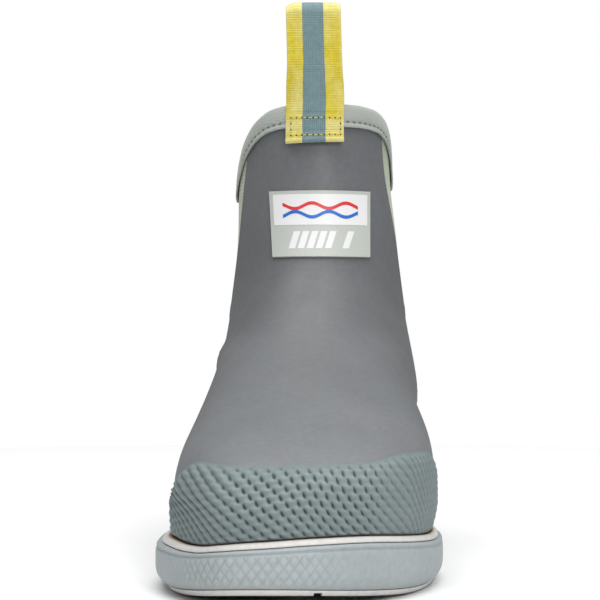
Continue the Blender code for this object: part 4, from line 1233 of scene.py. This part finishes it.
def make_strap(which, x, turn, rear):
    """One length of webbing: sewn to the outside, up and over in a loop, and sewn to the inside."""
    out = 1 if rear else -1
    collar_top = float(collar_height(turn)) + GAP + BINDING
    wall_y = float((back_line if rear else front_line)(collar_top))
    spread = (STRAP_OUTER + STRAP_INNER + WEBBING) / 2
    axis_y = wall_y + out * (STRAP_OUTER - STRAP_INNER) / 2
    bend_z = collar_top + LOOP_HEIGHT - WEBBING / 2 - spread
    straight = bend_z - (collar_top - STRAP_SEWN)
    half_bend = math.pi * spread / 2
    total = 2 * (straight + half_bend)
    rows = np.linspace(0, total, int(total / 0.24))
    half = WEBBING_WIDTH / 2
    across = np.concatenate([[-half, -half + 0.12, -half + 0.4], np.linspace(-half + 0.9, half - 0.9, 41),
                             [half - 0.4, half - 0.12, half]])
    outside = rows <= total / 2
    leg = np.minimum(rows, total - rows)
    angle = np.clip(leg - straight, 0, None) / spread
    z = np.where(leg > straight, bend_z + spread * np.sin(angle), collar_top - STRAP_SEWN + leg)
    flat_y = axis_y + out * spread * np.cos(angle) * np.where(outside, 1, -1)
    distance = np.where(outside, STRAP_OUTER, -STRAP_INNER - WEBBING) + WEBBING / 2

    # Against the collar the webbing follows its curve, and above it goes flat and leans over slightly
    lean = (half - COLLAR_ROUNDING * distance) / half
    level = np.broadcast_to(np.minimum(z, collar_top)[:, None], (len(rows), len(across)))
    against = z < collar_top + 20
    turns = np.zeros(level.shape)
    turns[against] = turn_at(x + across * lean[against, None], level[against], rear)
    sewn = offset_point(turns, level, np.broadcast_to(distance[:, None], level.shape))
    flat = smoothstep(z, collar_top + 1, collar_top + 20)[:, None]
    risen = (z - collar_top) / LOOP_HEIGHT
    # The front strap is sewn a little off its middle line, and both loops lean inwards as they rise
    shift = (1 - rear) * (0.6 + 0.3 * smoothstep(z, collar_top - 8, collar_top + 4))
    shift = shift - 1.1 * np.clip(risen, 0, 1)
    across_x = x + across * (1 - 0.04 * smoothstep(risen, 0, 0.4)[:, None])
    middle = np.stack([sewn[..., 0] * (1 - flat) + across_x * flat + shift[:, None],
                       sewn[..., 1] * (1 - flat) + flat_y[:, None] * flat,
                       np.broadcast_to(z[:, None], level.shape)], axis=-1)
    # The fold's corners droop, one more than the other, and the sewn end hangs slightly askew
    corner = 1.6 * smoothstep(-across, half - 4.5, half) + 0.6 * smoothstep(across, half - 3, half)
    middle[..., 2] -= smoothstep(z, bend_z - 2, bend_z + spread)[:, None] * corner
    middle[..., 2] += 0.03 * across * (1 - smoothstep(z, collar_top - STRAP_SEWN, collar_top - 8))[:, None]
    down = np.gradient(middle, axis=0)
    sideways = np.gradient(middle, axis=1)
    normal = np.cross(down, sideways)
    normal /= np.linalg.norm(normal, axis=2, keepdims=True)
    if normal[2, len(across) // 2, 1] * out < 0:
        normal = -normal
    # Across: thin rounded selvedges. Along: weft ribs, and the two folded ends, which are thicker
    edge = np.sqrt(np.clip(1 - (np.clip(np.abs(across) - (half - 0.9), 0, 0.9) / 0.9) ** 2.4, 0.06, 1))
    from_end = np.minimum(rows, total - rows)
    fold = 0.55 * np.exp(-((from_end - 1.1) / 1.3) ** 2)
    tip = np.sqrt(np.clip(from_end / 0.9, 0.08, 1))
    share = (across + half) / WEBBING_WIDTH
    stripe_start, stripe_end = 0.285, 0.685
    is_grey = (share > stripe_start) & (share < stripe_end)
    weft = 0.055 * np.sin(rows * 2 * math.pi / WEFT_PITCH)[:, None] * np.where(is_grey, 0.25, 1.0)
    warp = 0.05 * np.cos((share - stripe_start) / 0.4 * 2 * math.pi * WARP_COUNT) * is_grey
    seam = sum(-0.10 * np.exp(-((share - line) / 0.012) ** 2) for line in (stripe_start, stripe_end))
    thick = WEBBING / 2 * edge * tip[:, None]
    sewn_rows = np.exp(-((from_end - 5.0) / 0.8) ** 2) + np.exp(-((from_end - 13.0) / 0.8) ** 2)
    pinch = 0.18 * sewn_rows[:, None] * (np.abs(across) < half - 1)
    face = thick + weft + warp + seam * edge + fold[:, None] * edge - pinch
    outer = middle + normal * face[..., None]
    inner = middle - normal * (thick + 0.5 * weft)[..., None]
    along = np.broadcast_to(rows[:, None], outer.shape[:2])
    worn = (0.75 * np.exp(-(from_end / 2.6) ** 4) + 0.7 * np.exp(-((from_end - 7.2) / 3.6) ** 4)
            + 0.85 * np.exp(-((total / 2 - from_end) / 9.0) ** 2))[:, None]
    worn = np.clip(worn + 0.35 * smoothstep(np.abs(across), half - 1.4, half - 0.3), 0, 1)
    wide = np.broadcast_to(share if not rear else 1 - share, outer.shape[:2])
    strap = solid_between(f"{which}_pull_strap", outer, inner, WEBBING_CLOTH,
                          attributes={"across": wide, "along": along, "worn": worn}, sharp=70.0)
    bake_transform(strap)
    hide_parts(f"{which}_pull_loop", f"{which}_strap_outer_end", f"{which}_strap_inner_end")

    # Box stitching on the outside: two rows across and two columns between them
    def on_face(side, height, lift):
        """A point on the strap's face, across by side and up by height in millimetres from its end."""
        side = np.asarray(side, float)
        height = np.asarray(height, float)
        i = np.interp(height, rows, np.arange(len(rows)))
        j = np.interp(side, across, np.arange(len(across)))
        low_i = np.clip(np.floor(i).astype(int), 0, len(rows) - 2)
        low_j = np.clip(np.floor(j).astype(int), 0, len(across) - 2)
        p, q = (i - low_i)[:, None], (j - low_j)[:, None]
        point = ((outer[low_i, low_j] * (1 - q) + outer[low_i, low_j + 1] * q) * (1 - p)
                 + (outer[low_i + 1, low_j] * (1 - q) + outer[low_i + 1, low_j + 1] * q) * p)
        return point + normal[low_i, low_j] * np.asarray(lift, float)[..., None]

    low, high = 3.3, 10.9
    left, right = -half + 2.6, half - 1.7
    arch = np.linspace(-1, 1, 7)
    lifted = 0.16 - 0.42 * np.abs(arch) ** 3
    stitches = []
    # Dark dots at the needle holes are painted shade, standing in for the shadow inside each hole
    hole_shadows = []
    for height in (low, high):
        count = round((right - left) / WEBBING_STITCH)
        for k in range(count):
            centre = left + (k + 0.5) * (right - left) / count
            stitches.append(on_face(centre + arch * 0.82, np.full(7, height), lifted))
        for k in range(count + 1):
            spot = left + k * (right - left) / count
            hole_shadows.append(on_face(np.full(3, spot), height + np.array([-0.42, 0, 0.42]), np.full(3, -0.02)))
    for side in (left, right):
        count = round((high - low) / WEBBING_STITCH)
        for k in range(count):
            centre = low + (k + 0.5) * (high - low) / count
            stitches.append(on_face(np.full(7, side), centre + arch * 0.82, lifted))
        for k in range(1, count):
            spot = low + k * (high - low) / count
            hole_shadows.append(on_face(np.full(3, side), spot + np.array([-0.42, 0, 0.42]), np.full(3, -0.02)))
    sewn = threads(f"{which}_strap_stitches", stitches, WEBBING_THREAD, GOLD_THREAD)
    settle(sewn, "root", "strap_webbing")
    hole_shadow_dots = threads(f"{which}_strap_painted_hole_shadows", hole_shadows, HOLE_SHADOW_RADIUS, PAINTED_HOLE_SHADE)
    settle(hole_shadow_dots, "root", "strap_webbing")


def at_rest(x, y, z):
    """A point in the row frame, in metres."""
    return tuple((np.array([x, y, z]) - CENTRE) * MM)


# ---------------------------------------------------------------- build

make_upper()
make_gore("gore_panel_lateral", 1, "gore_lateral")
make_gore("gore_panel_medial", -1, "gore_medial")
make_binding()
make_toe_bumper()
make_heel_bumper()
make_back_stay()
make_label()
make_foxing()
make_welt()
make_outsole()
make_lining()
make_footbed()
make_strap("front", FRONT_STRAP_X, 0, False)
make_strap("rear", REAR_STRAP_X, 180, True)

for cad_node, cad_look in (("midsole_core", FOAM), ("shank", STEEL), ("insole_board", FIBRE),
                           ("toe_puff", SHEETING), ("heel_stiffener", SHEETING)):
    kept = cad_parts[cad_node]
    kept.data.materials.clear()
    kept.data.materials.append(cad_look)


# ---------------------------------------------------------------- floor, light and camera

FLOOR_RADIUS = 0.75
FLOOR_SIDES = 96
floor_look = new_look("floor_white", 0.9, Specular_IOR_Level=0.1, Base_Color=(0.85, 0.85, 0.85, 1.0))[0]
floor_mesh = bpy.data.meshes.new("floor")
floor_angles = np.linspace(0, 2 * math.pi, FLOOR_SIDES + 1)[:-1]
floor_rim = [(FLOOR_RADIUS * math.cos(t), FLOOR_RADIUS * math.sin(t), 0) for t in floor_angles]
floor_mesh.from_pydata(floor_rim, [], [list(range(FLOOR_SIDES))])
floor_mesh.materials.append(floor_look)
floor = bpy.data.objects.new("floor", floor_mesh)
bpy.context.scene.collection.objects.link(floor)


def area_light(name, spot, size, power):
    """A soft square light in the studio, in metres and watts, that faces the boot."""
    light = bpy.data.lights.new(name, "AREA")
    light.shape = "SQUARE"
    light.size = size
    light.energy = power
    made = bpy.data.objects.new(name, light)
    made.location = spot
    made.rotation_euler = (Vector((0, 0, 0.1)) - Vector(spot)).to_track_quat("-Z", "Y").to_euler()
    bpy.context.scene.collection.objects.link(made)


area_light("key_light", (0.65, -1.9, 1.1), 0.8, 16)
area_light("top_light", (0.0, -0.3, 2.2), 2.6, 72)

# The surroundings are white to the eye and softer as light
world = bpy.data.worlds.new("white_studio")
bpy.context.scene.world = world
world.use_nodes = True
path = world.node_tree.nodes.new("ShaderNodeLightPath")
glow = world.node_tree.nodes.new("ShaderNodeMapRange")
glow.inputs["To Min"].default_value = 0.28
glow.inputs["To Max"].default_value = 1.0
world.node_tree.links.new(path.outputs["Is Camera Ray"], glow.inputs["Value"])
background = world.node_tree.nodes["Background"]
background.inputs["Color"].default_value = (1.0, 1.0, 1.0, 1.0)
world.node_tree.links.new(glow.outputs["Result"], background.inputs["Strength"])
bpy.context.scene.view_settings.view_transform = "Standard"

# The camera looks level at the toe, about a metre away. Its shift sets the boot a little above the middle
CAMERA_DISTANCE = 965
CAMERA_HEIGHT = 115.5
CAMERA_SHIFT = -0.011667
camera = bpy.data.cameras.new("camera")
camera.sensor_width = 36.0
camera.lens = 135.3
camera.shift_y = CAMERA_SHIFT
camera.clip_start = 0.05
camera.clip_end = 50.0
eye = bpy.data.objects.new("camera", camera)
eye.location = at_rest(0, -CAMERA_DISTANCE, CAMERA_HEIGHT)
eye.rotation_euler = (math.radians(90), 0, 0)
bpy.context.scene.collection.objects.link(eye)
bpy.context.scene.camera = eye
